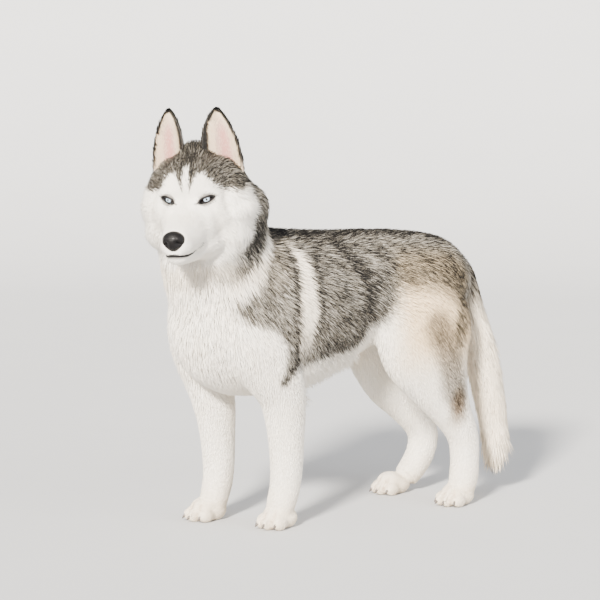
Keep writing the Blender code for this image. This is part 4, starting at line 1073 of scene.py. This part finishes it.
def coat_finish(name, on_skin):
    """Fur whose grey, dark, cream and tan come from the coat's marks and from the painted shade under the chin and
    between the toes.
    """
    finish = Finish(name, 0.85 if on_skin else 0.62, Specular_IOR_Level=0.2)
    along = finish.share("along")
    grain = finish.grain(420.0, 2.0)
    pepper = finish.ramp(grain, [(0.42, 0), (0.62, 1)])
    grey = finish.share("grey")
    base = finish.mix(finish.share("cream"), WHITE, CREAM)
    # The tan share also holds the painted shade under the chin and between the toes.
    base = finish.mix(finish.share("tan"), base, TAN)
    base = finish.mix(grey * 0.86, base, GREY)
    tips = (finish.share("dark") * (0.55 + 0.7 * along) + grey * pepper * 0.50).clamped()
    base = finish.mix(tips, base, BLACK)
    base = finish.mix(finish.share("rose"), base, (0.62, 0.36, 0.32))
    if on_skin:
        base = finish.mix(0.06 + grain * 0.08, base, (0.20, 0.16, 0.13))
        finish.bump(grain, 0.6, 0.002)
    return finish.feed("Base Color", base)


COAT = coat_finish("coat", False)
UNDERCOAT = coat_finish("undercoat", True)


def dress(piece, finish, slot, *nodes):
    """Gives a piece its finish, its place in the row's frame and its part in the frame."""
    piece.data.materials.clear()
    piece.data.materials.append(finish.material)
    piece.data.transform(Matrix.Translation(SHIFT))
    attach(piece, "root")
    if nodes:
        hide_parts(*nodes)
    return piece


def closeness(points):
    """How dense the tufts are at each point: closest on the face and the feet."""
    head = to_head(points)
    face = soft(0.08, 0.03, head[:, 1]) * soft(-0.15, -0.12, head[:, 2])
    muzzle = soft(0.0, -0.04, head[:, 1]) * soft(-0.16, -0.13, head[:, 2])
    legs = soft(0.30, 0.18, points[:, 2])
    feet = soft(0.09, 0.05, points[:, 2])
    tail = tail_share(points)
    return 1.0 + 2.2 * face + 1.8 * muzzle + 0.35 * legs + 1.0 * feet + 0.9 * tail


def tail_guides(points):
    """Way, length and depth of the brush at points of the tail's skin."""
    places = limb_places(TAIL_ROWS, 0.01)
    middles = np.array([place[0] for place in places])
    halves = np.array([(place[1].length + place[2].length) / 2 for place in places])
    nearest = np.argmin(np.linalg.norm(points[:, None] - middles[None], axis=2), axis=1)
    after = np.minimum(nearest + 1, len(places) - 1)
    before = np.maximum(nearest - 1, 0)
    ways = unit(middles[after] - middles[before])
    left = np.linalg.norm(np.diff(middles, axis=0), axis=1)[::-1].cumsum()[::-1]
    left = np.append(left, 0.0)[nearest]
    lengths = np.interp(left, [0.0, 0.05, 0.15, 0.35, 0.45], [0.045, 0.062, 0.075, 0.060, 0.040])
    bare = 1 - np.interp(nearest / (len(places) - 1), *TAIL_SKIN_SHARES)
    rises = halves[nearest] * bare * np.interp(left, [0.0, 0.06], [0.75, 1.0])
    return ways, lengths, rises


def hang(roots, facing, ways, lengths, rises):
    """Middles and normals of tufts that stand clear of the skin."""
    middles = [roots - facing * 0.0010]
    for share in (0.5, 1.0):
        middles.append(roots + ways * (lengths * share)[:, None]
                       + facing * (rises * share ** 0.7)[:, None])
    return middles, [facing] * 3


def low_belly(points):
    """1 along the underside between elbow and flank."""
    band = soft(-0.135, -0.115, points[:, 1]) * soft(0.035, -0.005, points[:, 1])
    band *= soft(0.345, 0.325, points[:, 2]) * (points[:, 2] > 0.24)
    return band * (np.abs(points[:, 0]) < 0.088)


def cheek_edge(points):
    """1 along the back edge of the white cheeks."""
    head = to_head(points)
    head[:, 0] = np.abs(head[:, 0])
    return soft(0.018, 0.008, from_path(head, CHEEK_EDGE)[0])


def make_fringe(name, skin, places_on_bake, wanted, where, way, sizes):
    """Pale hair that stands clear of the skin; sizes are its lengths, rise and widths."""
    roots, facing = scatter(skin, wanted, lambda points: where(points) + 1e-9)
    keep = where(roots) > 0.3
    roots, facing = roots[keep], facing[keep]
    count = len(roots)
    ways = unit(way(roots) + DICE.normal(0, 0.17, (count, 3)))
    middles, normals = hang(roots, facing, ways, DICE.uniform(*sizes[0], count),
                            sizes[1] * DICE.uniform(0.5, 1.2, count))
    shares = markings_and_shade(roots, 0.002)
    shares["grey"] *= 0.4
    shares["dark"] *= 0.3
    shares["rose"] = np.zeros(count)
    grow(name, middles, normals, DICE.uniform(*sizes[2], count), shares,
         places_on_bake.at(roots), COAT, "white_coat")


def cheek_way(roots):
    """Back, down and away from the face."""
    side = np.sign(to_head(roots)[:, 0])
    return np.stack([side * 0.42, np.full(len(roots), 0.72), np.full(len(roots), -0.42)],
                    1) @ np.array(HEAD)[:3, :3].T


def make_coat(skin):
    """All the tufts of the body, in pieces by region."""
    places_on_bake = BakePlaces(skin)
    make_fringe("coat_belly_fringe", skin, places_on_bake, 4200, low_belly,
                lambda roots: np.array([0.0, 0.55, -0.80]), ((0.008, 0.027), 0.004, (0.0011, 0.0020)))
    make_fringe("coat_cheek_fringe", skin, places_on_bake, 3200, cheek_edge, cheek_way,
                ((0.008, 0.017), 0.0040, (0.0009, 0.0016)))
    roots, facing = scatter(skin, 118000, closeness)
    ways, sizes = GROOM.at(roots)
    lengths, rises, widths = sizes[:, 0], sizes[:, 1] * 0.92, sizes[:, 2]
    tail = tail_share(roots)
    tail_ways, tail_lengths, tail_rises = tail_guides(roots)
    ways = unit(ways * (1 - tail[:, None]) + tail_ways * tail[:, None])
    lengths = lengths * (1 - tail) + tail_lengths * tail
    rises = rises * (1 - tail) + tail_rises * tail
    widths = widths * (1 - tail) + 0.0032 * tail
    keep = (eye_clear(roots) > 0.98) & (nose_clear(roots) > 1.0) & (roots[:, 2] > 0.0022)
    mouth_gap, mouth_along = from_path(roots, [spot for spot, _, _ in MOUTH])
    keep &= (mouth_gap > 0.0011) | (np.abs(mouth_along * 2 - 1) > 0.60)
    roots, facing, ways = roots[keep], facing[keep], ways[keep]
    lengths, rises, widths = lengths[keep], rises[keep], widths[keep]
    count = len(roots)
    swirl = np.stack([ripple(roots, 0.05, 3.0), ripple(roots, 0.05, 5.0), ripple(roots, 0.05, 7.0)], 1)
    ways = unit(ways + 0.13 * swirl + DICE.normal(0, 0.11, (count, 3)))
    trim = np.interp(roots[:, 1], [-0.26, -0.16], [0.90, 0.72]) * (1 - tail[keep]) + tail[keep]
    lengths = lengths * trim * DICE.uniform(0.72, 1.18, count)
    calm = soft(0.34, 0.24, roots[:, 2])
    rises = rises * (DICE.uniform(0.45, 1.05, count) * (1 - calm) + DICE.uniform(0.55, 0.8, count) * calm)
    widths = widths * DICE.uniform(0.50, 0.85, count)
    shares = markings_and_shade(roots + ways * (lengths * 0.45)[:, None], 0.0020)
    speckle = DICE.random(count)
    grey, dark = shares["grey"], shares["dark"]
    shares["dark"] = np.clip(dark * (0.65 + 0.7 * DICE.random(count))
                             + grey * 0.60 * soft(0.50, 0.72, speckle), 0, 1)
    shares["grey"] = np.clip(grey * (0.55 + 0.6 * DICE.random(count)), 0, 1)
    shares["cream"] = np.clip(shares["cream"] + DICE.normal(0, 0.04, count), 0, 1)
    shares["rose"] = np.zeros(count)
    head = to_head(roots)
    long = (lengths > 0.036) | (tail[keep] >= 0.5)
    on_head = (head[:, 1] < 0.12) & (head[:, 2] > -0.13) & (np.abs(head[:, 0]) < 0.13)
    short_hind = ~long & (roots[:, 1] >= 0.06)
    short_fore = ~on_head & ~long & (roots[:, 1] < -0.12)
    left = roots[:, 0] > 0
    regions = {
        "coat_face": on_head & ~long & (head[:, 1] < 0.025),
        "coat_crown": on_head & ~long & (head[:, 1] >= 0.025),
        "coat_ruff_left": long & (roots[:, 1] < -0.15) & left,
        "coat_ruff_right": long & (roots[:, 1] < -0.15) & ~left,
        "coat_breeches": long & (roots[:, 1] >= -0.15) & (tail[keep] < 0.5),
        "coat_tail": tail[keep] >= 0.5,
        "coat_chest": short_fore & (roots[:, 2] >= 0.22),
        "coat_middle": ~long & (roots[:, 1] >= -0.12) & (roots[:, 1] < 0.06),
        "coat_thigh_left": short_hind & (roots[:, 2] >= 0.22) & left,
        "coat_thigh_right": short_hind & (roots[:, 2] >= 0.22) & ~left,
        "coat_forelegs": short_fore & (roots[:, 2] < 0.22),
        "coat_hind_legs": short_hind & (roots[:, 2] < 0.22),
    }
    for name, chosen in regions.items():
        if not chosen.any():
            continue
        spans = 3 if long[chosen].all() else 2
        middles, normals = follow(SKIN_TREE, roots[chosen], facing[chosen], ways[chosen],
                                  lengths[chosen], rises[chosen], spans)
        if name == "coat_tail":
            free = soft(0.21, 0.12, roots[chosen, 2])[:, None]
            for step in range(1, spans + 1):
                share = step / spans
                straight = roots[chosen] + ways[chosen] * (lengths[chosen] * share)[:, None]
                straight += facing[chosen] * (rises[chosen] * share ** 0.7)[:, None]
                middles[step] += (straight - middles[step]) * free
                level = unit(facing[chosen] * [1.0, 1.0, 0.15])
                normals[step] = unit(normals[step] * (1 - free) + level * free)
        middles = gather(middles, 7, CLUMPING.get(name, 0.10))
        for step, middle in enumerate(middles):
            middle[:, 2] = np.maximum(middle[:, 2], 0.0012)
        slot = "grey_coat" if name == "coat_middle" else "white_coat"
        part = {key: values[chosen] for key, values in shares.items()}
        piece = grow(name, middles, normals, widths[chosen], part,
                     places_on_bake.at(roots[chosen]), COAT, slot)
        print(name, chosen.sum(), "tufts,", len(piece.data.polygons), "triangles")


def mouth_path():
    """Spots of the face along the closed mouth, from its left corner round to the right."""
    spots = []
    ahead_rows, heights = zip(*MOUTH_LINE[::-1])
    for index in range(61):
        turn = (index / 60 - 0.5) * 2
        bend = abs(turn)
        forward = 0.062 if bend < 0.45 else 0.062 - (bend - 0.45) / 0.55 * 0.026
        angle = min(bend / 0.45, 1.0) * math.pi / 2 * (1 if turn > 0 else -1)
        way = Vector((-math.sin(angle), -math.cos(angle), 0.0))
        reach = forward + 0.045 * (1 - min(bend / 0.45, 1.0))
        height = float(np.interp(reach, ahead_rows, heights))
        origin = HEAD @ Vector((0.0, -forward, height))
        hit, facing, _, _ = SKIN_TREE.ray_cast(origin, HEAD.to_3x3() @ way)
        spots.append((hit, (HEAD.to_3x3() @ way).normalized(), bend))
    return spots


MOUTH = mouth_path()
make_coat(skin)
skin_shares = markings_and_shade(corners(skin))
skin_shares["along"] = np.full(len(skin.data.vertices), 0.3)
skin_shares["rose"] = np.zeros(len(skin.data.vertices))
give_shares(skin, skin_shares)
dress(skin, UNDERCOAT, "white_coat", *FLESH)


HORN = Finish("claw_horn", 0.35)
HORN.feed("Base Color", HORN.mix(HORN.grain(420.0), (0.035, 0.028, 0.024), (0.16, 0.125, 0.10)))
HORN.bump(HORN.grain(900.0), 0.25, 0.0006)


def eye_finish():
    """Pale blue iris with dark rim and small pupil, read from the angle off the gaze."""
    finish = Finish("eye_surface", 0.08, Coat_Weight=1.0, Coat_Roughness=0.02)
    off = finish.share("off_gaze")
    streaks = finish.grain(1500.0, 5.0)
    iris = finish.mix(streaks, (0.42, 0.60, 0.78), (0.78, 0.88, 0.95))
    inner = finish.ramp(off, [(PUPIL_RADIUS * 75, 0), (PUPIL_RADIUS * 90, 1)])
    outer = finish.ramp(off, [(IRIS_RADIUS * 64, 0), (IRIS_RADIUS * 80, 1)])
    ring = finish.ramp(off, [(IRIS_RADIUS * 50, 0), (IRIS_RADIUS * 66, 0.75)])
    shaded = finish.mix(ring, iris, (0.10, 0.16, 0.22))
    shaded = finish.mix(1 - inner, shaded, (0.004, 0.004, 0.005))
    return finish.feed("Base Color", finish.mix(outer, shaded, (0.018, 0.013, 0.011)))


def lid_finish():
    """Black wet lid rims that turn into pale skin under the coat."""
    finish = Finish("lid_skin", 0.5, Specular_IOR_Level=0.25)
    rim = finish.share("rim")
    finish.bump(finish.grain(1400.0), 0.35, 0.0006)
    return finish.feed("Base Color", finish.mix(rim, (0.30, 0.26, 0.22), (0.005, 0.004, 0.004)))


EYE = eye_finish()
LID = lid_finish()


def make_eye(side, sign):
    """An eyeball with a slightly raised clear front, and its lids."""
    place = eye_place(sign)
    bm = bmesh.new()
    bmesh.ops.create_uvsphere(bm, u_segments=64, v_segments=48, radius=EYE_RADIUS,
                              matrix=place @ Matrix.Rotation(math.pi / 2, 4, "X"))
    ball = as_piece("eyeball_" + side, bm)
    local = to_place(corners(ball), place)
    off = np.arccos(np.clip(-local[:, 1] / EYE_RADIUS, -1, 1))
    local *= (1 + 0.045 * np.exp(-(off / 0.42) ** 2) - 0.035)[:, None]
    matrix = np.array(place)
    place_corners(ball, local @ matrix[:3, :3].T + matrix[:3, 3])
    give_shares(ball, {"off_gaze": off})
    dress(ball, EYE, "eye_surface", "eye_" + side)

    bm = bmesh.new()
    bmesh.ops.create_grid(bm, x_segments=64, y_segments=10, size=1.0)
    rims = {}
    for vert in bm.verts:
        turn, ring = math.pi * (1 + vert.co.x), (1 + vert.co.y) / 2
        out = max(0.0, ring - 0.12) / 0.88
        wide = LID_OPENING[0] + (LID_EDGE[0] - LID_OPENING[0]) * out
        part = 1 if math.sin(turn) > 0 else 2
        tall = LID_OPENING[part] + (LID_EDGE[part] - LID_OPENING[part]) * out
        x = wide * math.cos(turn)
        z = tall * math.sin(turn) * abs(math.sin(turn)) ** 0.5
        cover = EYE_RADIUS + 0.0004 + (LID_RISE + 0.0002) * float(soft(0.0, 0.4, out))
        on_ball = -math.sqrt(max(cover ** 2 - x * x - z * z, 1e-8))
        origin = place @ Vector((sign * x, -0.04, z))
        hit = SKIN_TREE.ray_cast(origin, place.to_3x3() @ Vector((0, 1, 0)))[0]
        on_skin = (place.inverted() @ hit).y if hit else on_ball
        y = min(on_ball, on_skin - 0.0004)
        y -= 0.0008 * math.sin(math.pi * min(1.0, out * 1.25)) if ring > 0.12 else -0.0012
        vert.co = place @ Vector((sign * x, y, z))
        rims[vert] = 1 - float(soft(0.94, 1.0, out)) * 0.6
    bmesh.ops.remove_doubles(bm, verts=bm.verts, dist=0.00002)
    bmesh.ops.recalc_face_normals(bm, faces=bm.faces)
    middle = place.to_translation()
    if sum(face.normal.dot(face.calc_center_median() - middle) for face in bm.faces) < 0:
        bmesh.ops.reverse_faces(bm, faces=bm.faces)
    order = [rims[vert] for vert in bm.verts]
    lids = as_piece("lids_" + side, bm)
    give_shares(lids, {"rim": order})
    dress(lids, LID, "eye_surface")


for side, sign in (("left", 1), ("right", -1)):
    make_eye(side, sign)


def nose_finish():
    """Damp, pebbled black leather."""
    finish = Finish("nose_leather", 0.42, Specular_IOR_Level=0.16, Coat_Weight=0.04, Coat_Roughness=0.2)
    pebbles = finish.node("ShaderNodeTexVoronoi", {"feature": "F1"}, {
        "Vector": finish.place(), "Scale": 820.0})
    finish.bump(pebbles, 0.55, 0.0007)
    return finish.feed("Base Color", finish.mix(pebbles, (0.006, 0.005, 0.005), (0.0025, 0.002, 0.002)))


NOSE = nose_finish()


def make_nose():
    """The nose: a rounded wedge with wings, comma nostrils and a groove below."""
    bm = bmesh.new()
    bmesh.ops.create_uvsphere(bm, u_segments=80, v_segments=56, radius=1.0, matrix=Matrix())
    nose = as_piece("nose_pad", bm)
    points = corners(nose)
    x, y, z = points.T
    points = points * NOSE_RADII
    points[:, 0] *= 1 - 0.30 * soft(0.0, -1.0, z) + 0.06 * soft(0.0, 0.6, z)
    points += np.array(NOSE_CENTRE)
    side = np.abs(points[:, 0])
    for spot, reach, push in (((0.0104, -0.1095, -0.0555), 0.0042, 0.0062),
                              ((0.0150, -0.1050, -0.0575), 0.0030, 0.0042),
                              ((0.0172, -0.0990, -0.0600), 0.0020, 0.0022)):
        gap = np.linalg.norm(np.stack([side, points[:, 1], points[:, 2]], 1) - spot, axis=1)
        points[:, 1] += push * np.exp(-(gap / reach) ** 2)
    gap = np.linalg.norm(np.stack([side, points[:, 1], points[:, 2]], 1)
                         - (0.0135, -0.106, -0.0495), axis=1)
    points[:, 1] -= 0.0012 * np.exp(-(gap / 0.0045) ** 2)
    groove = np.exp(-(points[:, 0] / 0.0010) ** 2) * soft(-0.050, -0.058, points[:, 2])
    points[:, 1] += 0.0016 * groove
    place_corners(nose, from_head(points))
    dress(nose, NOSE, "nose_leather", "nose")


make_nose()


def make_lips():
    """The dark edge of the lips, thickest under the nose and gone at the corners."""
    places = []
    path = MOUTH
    for index, (spot, way, bend) in enumerate(path):
        along = (path[min(index + 1, 60)][0] - path[max(index - 1, 0)][0]).normalized()
        up = along.cross(way).normalized()
        tall = 0.0004 + 0.0028 * (1 - float(soft(0.15, 0.62, bend)))
        lift = 0.0006 - 0.0022 * float(soft(0.52, 0.66, bend))
        places.append((spot + way * lift, way * 0.0016 * (1 - 0.4 * bend), up * tall))
    bm = bmesh.new()
    add_tube(bm, places, 10)
    bmesh.ops.recalc_face_normals(bm, faces=bm.faces)
    lips = as_piece("lips", bm)
    give_shares(lips, {"rim": np.ones(len(lips.data.vertices))})
    dress(lips, LID, "nose_leather")


make_lips()

def make_claws():
    """Short curved claws, each rooted in the fur at the end of its toe."""
    for name in PAWS:
        bm = bmesh.new()
        turn = paw_turn(name)
        for across, forward in zip(TOE_SIDEWAYS, TOE_FORWARD):
            lane = Matrix.Rotation(across * TOE_SPREAD, 4, "Z")
            hoops = []
            for step in range(9):
                share = step / 8
                bend = share * CLAW_BEND
                spot = Vector((0, -math.sin(bend), math.cos(bend) - 1)) * (CLAW_LENGTH / CLAW_BEND)
                spot.z -= 0.35 * CLAW_LENGTH * share
                thick = CLAW_RADIUS * (1 - share ** 1.6) + 0.0003
                middle = Vector((across, -forward, 0)) + lane @ (Vector((0, -0.0105, 0.0135)) + spot)
                hoops.append((middle, lane @ Vector((thick, 0, 0)),
                              lane @ Vector((0, -math.sin(bend), math.cos(bend))) * thick * 1.25))
            add_tube(bm, hoops, 12, turn)
        bmesh.ops.recalc_face_normals(bm, faces=bm.faces)
        claws = as_piece("claws_" + name, bm)
        dress(claws, HORN, "claw_horn", *(f"claw_{name}_{k}" for k in range(1, 5)))


make_claws()


def ear_edge(points, t):
    start, bow, end = points
    return start * (1 - t) ** 2 + bow * 2 * t * (1 - t) + end * t ** 2


def ear_spot(sign, share, height, lift=0.0):
    """A point of the ear's cupped sheet: share runs from its inner to its outer edge."""
    inner, outer = ear_edge(EAR_INNER_EDGE, height), ear_edge(EAR_OUTER_EDGE, height)
    cup = EAR_CUP_DEPTH * max(0.0, 1 - max(0.0, height)) ** 0.8
    point = inner.lerp(outer, (share + 1) / 2)
    point.y += cup * (1 - share ** 2) + lift
    return HEAD @ Vector((sign * point.x, point.y, point.z))


def ear_facing(sign, share, height):
    """The way the front of the ear's sheet faces at a point, and the way up it."""
    step = 0.01
    across = ear_spot(sign, share + step, height) - ear_spot(sign, share - step, height)
    upward = ear_spot(sign, share, height + step) - ear_spot(sign, share, height - step)
    facing = across.cross(upward).normalized() * sign
    return facing, upward.normalized()


def ear_finish():
    """Pink skin in the cup, pale towards the edges, and black along the rim."""
    finish = Finish("ear_skin", 0.6)
    grain = finish.grain(300.0)
    base = finish.mix(finish.share("rose"), (0.58, 0.46, 0.36), (0.58, 0.27, 0.23))
    base = finish.mix(grain * 0.25, base, (0.36, 0.20, 0.17))
    finish.bump(grain, 0.4, 0.001)
    return finish.feed("Base Color", finish.mix(finish.share("dark"), base, BLACK))


EAR = ear_finish()


def ear_shares(share, height, front):
    """Shares of the markings at places of the ear."""
    edge = 1 - np.abs(share)
    rim_wide = np.where(share < 0, 0.24 + 0.08 * soft(0.55, 0.1, height), 0.19)
    rim = soft(rim_wide * 1.3, rim_wide * 0.6, edge)
    rim = np.maximum(rim, soft(0.88, 0.94, height))
    rim = rim * np.where(share > 0, soft(0.05, 0.25, height), 1.0)
    pink = np.exp(-((share - 0.05) / 0.42) ** 2) * soft(0.90, 0.45, height)
    back = 1 - front
    return {"dark": np.where(front > 0, rim, np.maximum(rim, 0.45)),
            "grey": np.where(front > 0, rim * 0.8, 0.85),
            "cream": np.where(front > 0, 0.75, 0.3), "tan": 0.12 * back,
            "rose": pink * front}


def make_ear(side, sign):
    """The ear's thin cupped shell, with short fur outside, a black rim and pale fur inside."""
    bm = bmesh.new()
    bmesh.ops.create_grid(bm, x_segments=30, y_segments=46, size=1.0)
    shares, heights = [], []
    for vert in bm.verts:
        share, height = vert.co.x, vert.co.y * 0.58 + 0.42
        shares.append(share)
        heights.append(height)
        vert.co = ear_spot(sign, share, height, 0.0012)
    shell = as_piece("ear_" + side + "_shell", bm)
    give_shares(shell, {"share": shares, "height": heights})
    thick = shell.modifiers.new("thick", "SOLIDIFY")
    thick.thickness = 0.0022
    thick.offset = 0.0
    apply_modifiers(shell)
    count = len(shell.data.vertices)
    share, height = np.empty(count, np.float32), np.empty(count, np.float32)
    shell.data.attributes["share"].data.foreach_get("value", share)
    shell.data.attributes["height"].data.foreach_get("value", height)
    points = corners(shell)
    half = count // 2
    middle = half // 2
    facing, _ = ear_facing(sign, float(share[middle]), float(height[middle]))
    first_in_front = Vector(points[middle] - points[middle + half]).dot(facing) > 0
    front = ((np.arange(count) < half) == first_in_front).astype(float)
    marks = ear_shares(share, height, front)
    give_shares(shell, {"rose": marks["rose"], "dark": np.where(front > 0, marks["dark"], 0.86)})
    dress(shell, EAR, "ear_coat", "ear_" + side)
    groups = (
        (4200, 0, (-1.0, 1.0), (-0.05, 0.99), 0.0095, 0.0016, 0.0014),
        (1800, 1, (-1.0, 1.0), (-0.10, 0.97), 0.0075, 0.0018, 0.0011),
        (900, 1, (-0.66, -0.38), (-0.10, 0.62), 0.0130, 0.0045, 0.0012),
        (700, 1, (0.40, 0.80), (-0.15, 0.50), 0.0140, 0.0050, 0.0012),
    )
    for index, (wanted, front, across, tall, length, rise, width) in enumerate(groups):
        count = int(wanted * THINNING)
        share = DICE.uniform(*across, count)
        height = DICE.uniform(*tall, count)
        if index > 1:
            height = tall[0] + (height - tall[0]) * ((height - tall[0]) / (tall[1] - tall[0])) ** 0.7
        if index == 1:
            bare = np.exp(-(share / 0.32) ** 2) * soft(0.80, 0.45, height)
            keep = DICE.random(count) > bare * 0.85
            share, height = share[keep], height[keep]
            count = len(share)
        roots, normals, ways = np.empty((count, 3)), np.empty((count, 3)), np.empty((count, 3))
        for k in range(count):
            facing, upward = ear_facing(sign, share[k], height[k])
            side_way = (facing.cross(upward)) * sign
            lean = 0.25 * share[k] if index < 2 else (-1.0 if share[k] < 0 else 0.55)
            normals[k] = facing if front else -facing
            ways[k] = (upward - side_way * lean).normalized()
            roots[k] = ear_spot(sign, share[k], height[k], 0.0012) + Vector(normals[k]) * 0.0010
        ways = unit(ways + DICE.normal(0, 0.12, (count, 3)))
        lengths = length * DICE.uniform(0.7, 1.15, count) * np.interp(height, [0.8, 1.0], [1, 0.6])
        rises = rise * DICE.uniform(0.5, 1.1, count)
        middles, facings = hang(roots, normals, ways, lengths, rises)
        marks = ear_shares(share, height, np.full(count, float(front)))
        marks["rose"] = marks["rose"] * 0.80
        marks["cream"] = marks["cream"] + DICE.normal(0, 0.08, count)
        places = np.stack([0.25 + 0.23 * share + 0.5 * (1 - front), 0.15 + 0.8 * np.clip(height, 0, 1)], 1)
        grow(f"ear_{side}_fur_{index}", middles, facings,
             width * DICE.uniform(0.75, 1.2, count), {key: np.broadcast_to(value, count)
                                                       for key, value in marks.items()},
             np.clip(places, 0.01, 0.99), COAT, "ear_coat")


for side, sign in (("left", 1), ("right", -1)):
    make_ear(side, sign)


def make_floor():
    """A wide pale floor that sweeps up behind the dog, far from it."""
    bm = bmesh.new()
    bmesh.ops.create_grid(bm, x_segments=1, y_segments=48, size=1.0)
    back = Vector((-math.sin(VIEW_TURN), math.cos(VIEW_TURN), 0.0))
    side = Vector((back.y, -back.x, 0.0))
    for vert in bm.verts:
        along = (vert.co.y + 1) * 8 - 6
        past = max(0.0, along - SWEEP_START)
        bend = min(past / SWEEP_RADIUS, math.pi / 2)
        level = min(along, SWEEP_START) + SWEEP_RADIUS * math.sin(bend)
        rise = SWEEP_RADIUS * (1 - math.cos(bend)) + max(0.0, past - SWEEP_RADIUS * math.pi / 2)
        vert.co = back * level + side * vert.co.x * 9 + Vector((0, 0, rise))
    floor = as_piece("floor", bm)
    finish = Finish("floor_paint", 0.85)
    finish.feed("Base Color", finish.mix(finish.grain(3.0), (0.50, 0.50, 0.50), (0.53, 0.53, 0.53)))
    floor.data.materials.append(finish.material)


def make_light(name, kind, place, aim, power, tint, **settings):
    """A lamp that points at its aim."""
    lamp = bpy.data.lights.new(name, kind)
    lamp.energy = power
    lamp.color = tint
    for setting, value in settings.items():
        setattr(lamp, setting, value)
    holder = bpy.data.objects.new(name, lamp)
    holder.location = place
    holder.rotation_euler = (Vector(aim) - Vector(place)).to_track_quat("-Z", "Y").to_euler()
    bpy.context.scene.collection.objects.link(holder)


def make_camera():
    """The photo's viewpoint: 4.6 m away, from the dog's left and a little ahead."""
    back = Vector((math.sin(VIEW_TURN) * math.cos(VIEW_RISE),
                   -math.cos(VIEW_TURN) * math.cos(VIEW_RISE), math.sin(VIEW_RISE)))
    target = Vector((-0.0344, -0.051, 0.4233)) + SHIFT
    data = bpy.data.cameras.new("camera")
    data.lens = 140
    data.sensor_width = 36
    holder = bpy.data.objects.new("camera", data)
    holder.location = target + back * 4.6
    holder.rotation_euler = back.to_track_quat("Z", "Y").to_euler()
    bpy.context.scene.collection.objects.link(holder)
    bpy.context.scene.camera = holder


make_floor()
make_light("sun", "SUN", (2.5, -3.4, 2.7), (0, 0, 0.4), 15.6, (1.0, 0.945, 0.865), angle=math.radians(9))
make_light("fill", "AREA", (3.6, 1.6, 1.8), (0, 0, 0.4), 120, (0.95, 0.97, 1.0), size=2.5)
world = bpy.data.worlds.new("studio")
world.use_nodes = True
world.node_tree.nodes["Background"].inputs["Color"].default_value = (0.84, 0.86, 0.90, 1.0)
world.node_tree.nodes["Background"].inputs["Strength"].default_value = 1.1
bpy.context.scene.world = world
make_camera()
